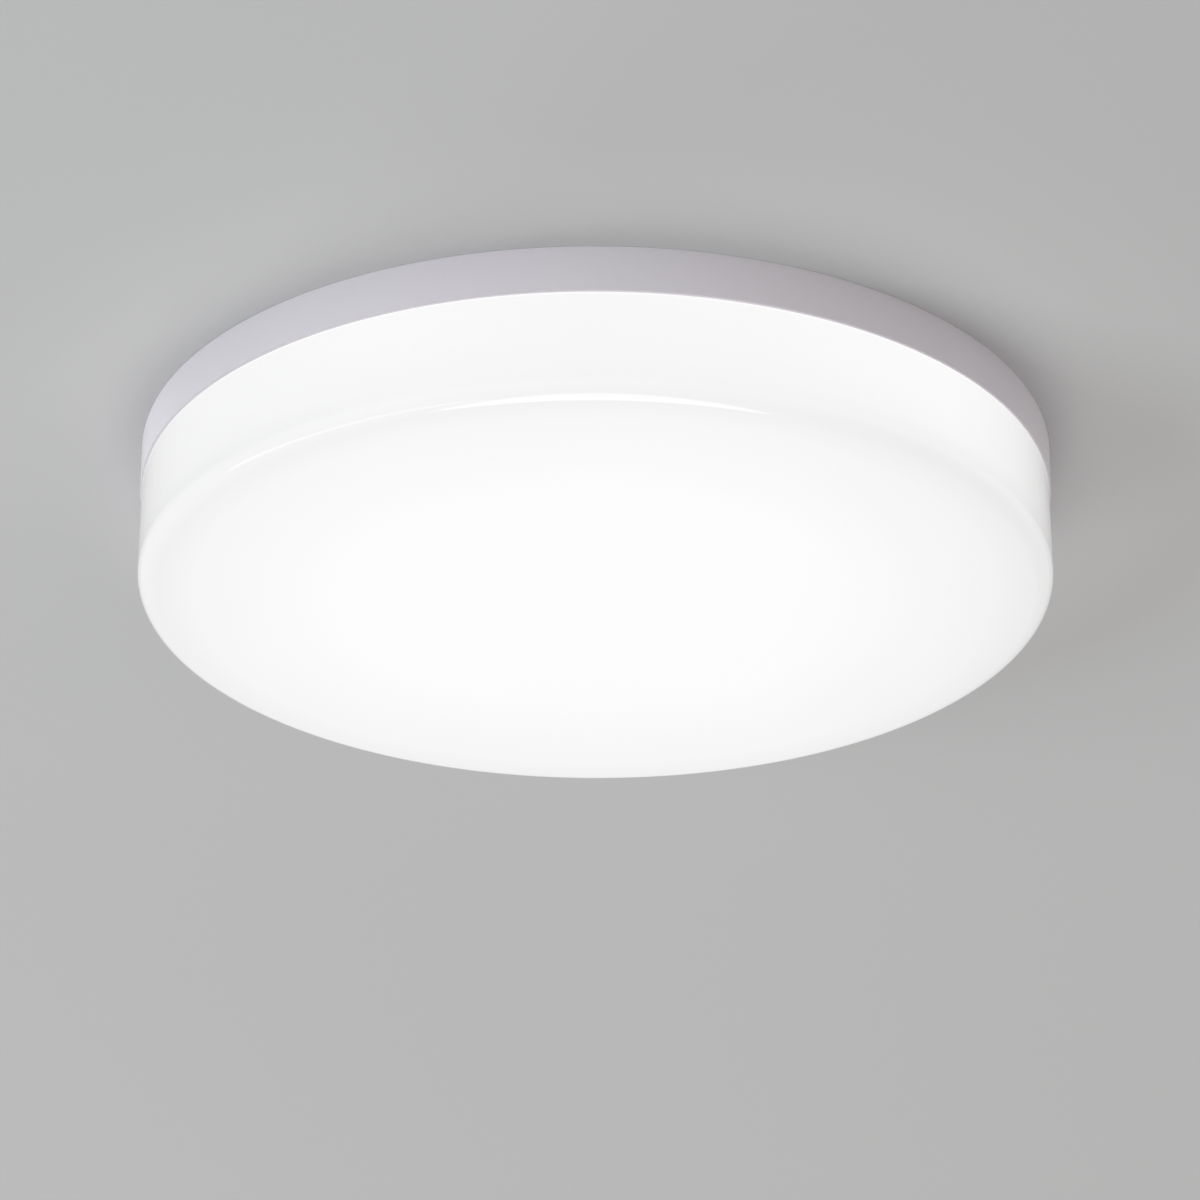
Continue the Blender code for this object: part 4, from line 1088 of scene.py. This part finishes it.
# LED board: white aluminium disc, its packages and its connector
board = {
    "thickness": 0.0012,
    "edge": 0.0001,
    "hole": 0.0018,
    "notch": (0.0420, 0.72),  # width, its inner edge by the board's radius
    "notchCorner": (0.0050, 6),  # width, segments
    "rings": ((0.20, 6), (0.43, 12), (0.66, 20), (0.89, 28)),  # by the radius, how many
    "package": (0.0035, 0.0028),
    "packageMargin": 0.0020,
    "rim": 0.0004,
    "cup": 0.00025,
    "socketEdge": 0.0002,
    "roughness": 0.36,
    "mask": (0.86, 0.86, 0.84),
    "grainScale": 1300.0,
    "grainSpan": (0.2, 0.8),
    "grainTones": (0.955, 0.985),
    "grainShare": 0.1,  # of the tracks' relief
    "trackRings": (0.0032, 0.0129),  # inner offset, pitch
    "trackEdge": (0.0030, 0.0033),
    "trackTone": 0.035,
    "relief": 0.00004,
}
phosphor = {
    "colour": (0.86, 0.70, 0.22),
    "roughness": 0.3,
    "scale": 900.0,
    "tones": (0.92, 1.06),
    "depth": 0.00003,
}


def boardSkin(tree):  # white solder mask, with the copper tracks standing up a little under it
    place = placeOf(tree)
    offset, pitch = board["trackRings"]
    reach = maths(tree, "ADD", reachOf(tree, axesOf(tree, place)), offset)
    track = span(tree, maths(tree, "PINGPONG", reach, pitch), board["trackEdge"])
    grain = noise(tree, place, board["grainScale"])
    tone = span(tree, grain, board["grainSpan"], board["grainTones"])
    tone = maths(tree, "MULTIPLY_ADD", track, board["trackTone"], tone)
    colour = toned(tree, board["mask"], tone)
    height = maths(tree, "MULTIPLY_ADD", grain, board["grainShare"], track)
    return surface(tree, colour, board["roughness"], height, board["relief"])


def phosphorSkin(tree):  # cured phosphor in its cup, a little uneven
    lumps = noise(tree, placeOf(tree), phosphor["scale"], detail=3.0)
    colour = toned(tree, phosphor["colour"], mottle(tree, lumps, phosphor["tones"]))
    return surface(tree, colour, phosphor["roughness"], lumps, phosphor["depth"])


def packagePlaces(radius):  # the rings leave out what would hang over the notch
    clear = board["package"][0] + board["packageMargin"]
    half = board["notch"][0] / 2 + clear
    edge = radius * board["notch"][1] - clear
    for share, count in board["rings"]:
        for step in range(count):
            angle = pi / 2 + pi / count + tau * step / count
            x, y = radius * share * cos(angle), radius * share * sin(angle)
            if abs(x) > half or y < edge:
                yield Matrix.Translation((x, y, 0)) @ Matrix.Rotation(angle, 4, "Z")


def makePackages(radius, top, bottom):
    package = blockShape((*board["package"], top - bottom), (0, 0, (top + bottom) / 2))
    mouth = min(package.faces, key=lambda face: face.calc_center_median().z)
    bmesh.ops.inset_region(package, faces=[mouth], thickness=board["rim"])
    bmesh.ops.translate(package, verts=mouth.verts, vec=(0, 0, board["cup"]))
    mouth.material_index = 1
    shape = closedMesh("package", package)
    shape.polygons.foreach_set("use_smooth", [False] * len(shape.polygons))
    bm = bmesh.new()
    for place in packagePlaces(radius):
        before = set(bm.verts)
        bm.from_mesh(shape)
        made = [vert for vert in bm.verts if vert not in before]
        bmesh.ops.transform(bm, matrix=place, verts=made)
    newFinish("ledPhosphor", phosphorSkin)
    mesh = meshOf("led_packages", bm)
    newPiece("led_packages", mesh, ["connectorNylon", "ledPhosphor"], "led_board")


def makeBoard():
    low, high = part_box("led_board")
    radius, thickness, edge = -low.y, board["thickness"], board["edge"]
    face = high.z - thickness
    outline = ((0, face), (radius, face), (radius, high.z), (0, high.z))
    bm = spunShape(roundedOutline(outline, (0, edge, edge, 0), steps=2))
    width, share = board["notch"]
    depth = radius * (1 - share) + overrun
    middle = radius * share + depth / 2
    cuts = blockShape((width, depth, 4 * thickness), (0, middle, high.z))
    inner = [e for e in upright(cuts) if e.verts[0].co.y < middle]
    bevelled(cuts, inner, *board["notchCorner"])
    for place in screwPlaces("led_board_screw"):
        addPost(cuts, board["hole"], face - overrun, high.z + overrun, place)
    mesh = joined("board_disc", bm, cuts=(cuts,))
    newFinish("boardWhite", boardSkin)
    newPiece("board_disc", mesh, ["boardWhite"], "led_board")
    makePackages(radius, face, low.z)
    edge = board["socketEdge"]
    softened("board_socket", "led_connector", edge, "connectorNylon", "connector_nylon")


makeBoard()
print("LED board made")

# Leads keep their CAD shape
leads = {
    "live_lead": "brownInsulation",
    "neutral_lead": "blueInsulation",
    "led_positive_lead": "redInsulation",
    "led_negative_lead": "blackInsulation",
}
for lead, insulation in leads.items():
    for slot in nodes[lead].material_slots:
        slot.material = finishes[insulation]
print("leads finished")


# Stage: a pale ceiling with a hole under the light's back, which top light comes through
stage = {
    "tone": (0.5635, 0.5567, 0.5595, 1.0),
    "gloss": {"Roughness": 0.9, "Specular IOR Level": 0.1},
    "half": 6.0,
    "hole": 0.1506,
    "holeSteps": 96,
    "height": -0.0003,
    "light": 0.37,  # what the world lights with
    "shown": 0.66,  # what the camera and gloss see of it
}


def ceilingSkin(tree):  # seen through from behind
    paint = tree.nodes["Principled BSDF"].outputs[0]
    behind = put(tree, "ShaderNodeNewGeometry").outputs["Backfacing"]
    clear = put(tree, "ShaderNodeBsdfTransparent").outputs[0]
    shown = put(tree, "ShaderNodeMixShader", {0: behind, 1: paint, 2: clear}).outputs[0]
    feed(tree.nodes["Material Output"], {"Surface": shown})
    return {"Base Color": stage["tone"], **stage["gloss"]}


def makeCeiling():
    bm = bmesh.new()
    bmesh.ops.create_circle(bm, radius=stage["hole"], segments=stage["holeSteps"])
    outer = vertsOf(bmesh.ops.extrude_edge_only(bm, edges=bm.edges))
    share = stage["half"] / stage["hole"]
    bmesh.ops.scale(bm, verts=outer, vec=(share, share, 1))
    bmesh.ops.translate(bm, verts=bm.verts, vec=(0, 0, stage["height"]))
    for face in bm.faces:
        if face.normal.z > 0:
            face.normal_flip()
    mesh = meshOf("ceiling", bm)
    newFinish("ceilingPaint", ceilingSkin)
    mesh.materials.append(finishes["ceilingPaint"])
    placed("ceiling", mesh)


def makeWorld():
    world = bpy.data.worlds.new("studio")
    bpy.context.scene.world = world
    world.use_nodes = True
    tree = world.node_tree
    rays = put(tree, "ShaderNodeLightPath").outputs
    seen = maths(tree, "ADD", rays["Is Camera Ray"], rays["Is Glossy Ray"])
    seen = maths(tree, "ADD", seen, rays["Is Transmission Ray"])
    strength = span(tree, seen, (0.0, 1.0), (stage["light"], stage["shown"]), smooth=False)
    feed(tree.nodes["Background"], {"Color": grey(1.0), "Strength": strength})


# Lamps: place, size across and up, power, tint, outline, whether gloss mirrors it
lamps = {
    "key": ((-2.2, -1.5, -1.1), (1.4, 1.4), 36.2, (0.88, 0.972, 1.0), "RECTANGLE", False),
    "fill": ((1.6, -2.0, -1.6), (1.6, 1.6), 14.3, (1.0, 0.985, 0.93), "RECTANGLE", False),
    "low": ((0.014, 1.228, -2.801), (1.08, 2.75), 15.2, (1.0, 0.985, 0.95), "ELLIPSE", True),
    "lowSide": ((-1.891, 0.803, -3.086), (0.62, 2.7), 8.0, (1.0, 0.985, 0.96), "RECTANGLE", True),
    "rimLeft": ((-1.8, 2.4, -0.4), (1.2, 0.5), 43.0, (0.94, 0.97, 1.0), "RECTANGLE", False),
    "rimRight": ((1.8, 2.4, -0.4), (1.2, 0.5), 11.0, (1.0, 0.99, 0.95), "RECTANGLE", False),
    "back": ((-0.5, 0.4, 2.4), (2.0, 2.0), 44.0, (1.0, 1.0, 1.0), "RECTANGLE", True),
}


def makeLamps():
    for name, (place, size, power, tint, outline, mirrored) in lamps.items():
        data = bpy.data.lights.new(name, "AREA")
        data.shape = outline
        data.size, data.size_y = size
        data.energy = power
        data.color = tint
        lamp = placed(name, data)
        lamp.location = place
        lamp.rotation_mode = "QUATERNION"
        lamp.rotation_quaternion = (-Vector(place)).to_track_quat("-Z", "Y")
        lamp.visible_glossy = mirrored


# Camera: below and in front of the light, as the photo was taken
view = {
    "distance": 1.7753,  # from the middle of the back
    "below": radians(26.68),
    "roll": radians(-0.115),
    "imageWidth": 1200,
    "focalPixels": 5321,
    "backMiddle": (595.4, 465.1),  # where the middle of the back lies in the photo
}


def makeCamera():
    below, focal = view["below"], view["focalPixels"]
    place = Vector((0, -cos(below), -sin(below))) * view["distance"]
    ahead = -place.normalized()
    right = Vector((1, 0, 0))
    up = right.cross(ahead)
    half = view["imageWidth"] / 2
    x, y = view["backMiddle"]
    ahead = (ahead - (x - half) / focal * right - (half - y) / focal * up).normalized()
    right = ahead.cross(up).normalized()
    up = right.cross(ahead)
    turn = Matrix((right, up, -ahead)).transposed() @ Matrix.Rotation(-view["roll"], 3, "Z")
    data = bpy.data.cameras.new("photographer")
    data.lens = data.sensor_width * focal / view["imageWidth"]
    camera = placed("photographer", data)
    camera.matrix_world = Matrix.Translation(place) @ turn.to_4x4()
    bpy.context.scene.camera = camera


makeCeiling()
makeWorld()
makeLamps()
makeCamera()
bpy.context.scene.view_settings.view_transform = "Standard"
print("stage, lamps and camera made")

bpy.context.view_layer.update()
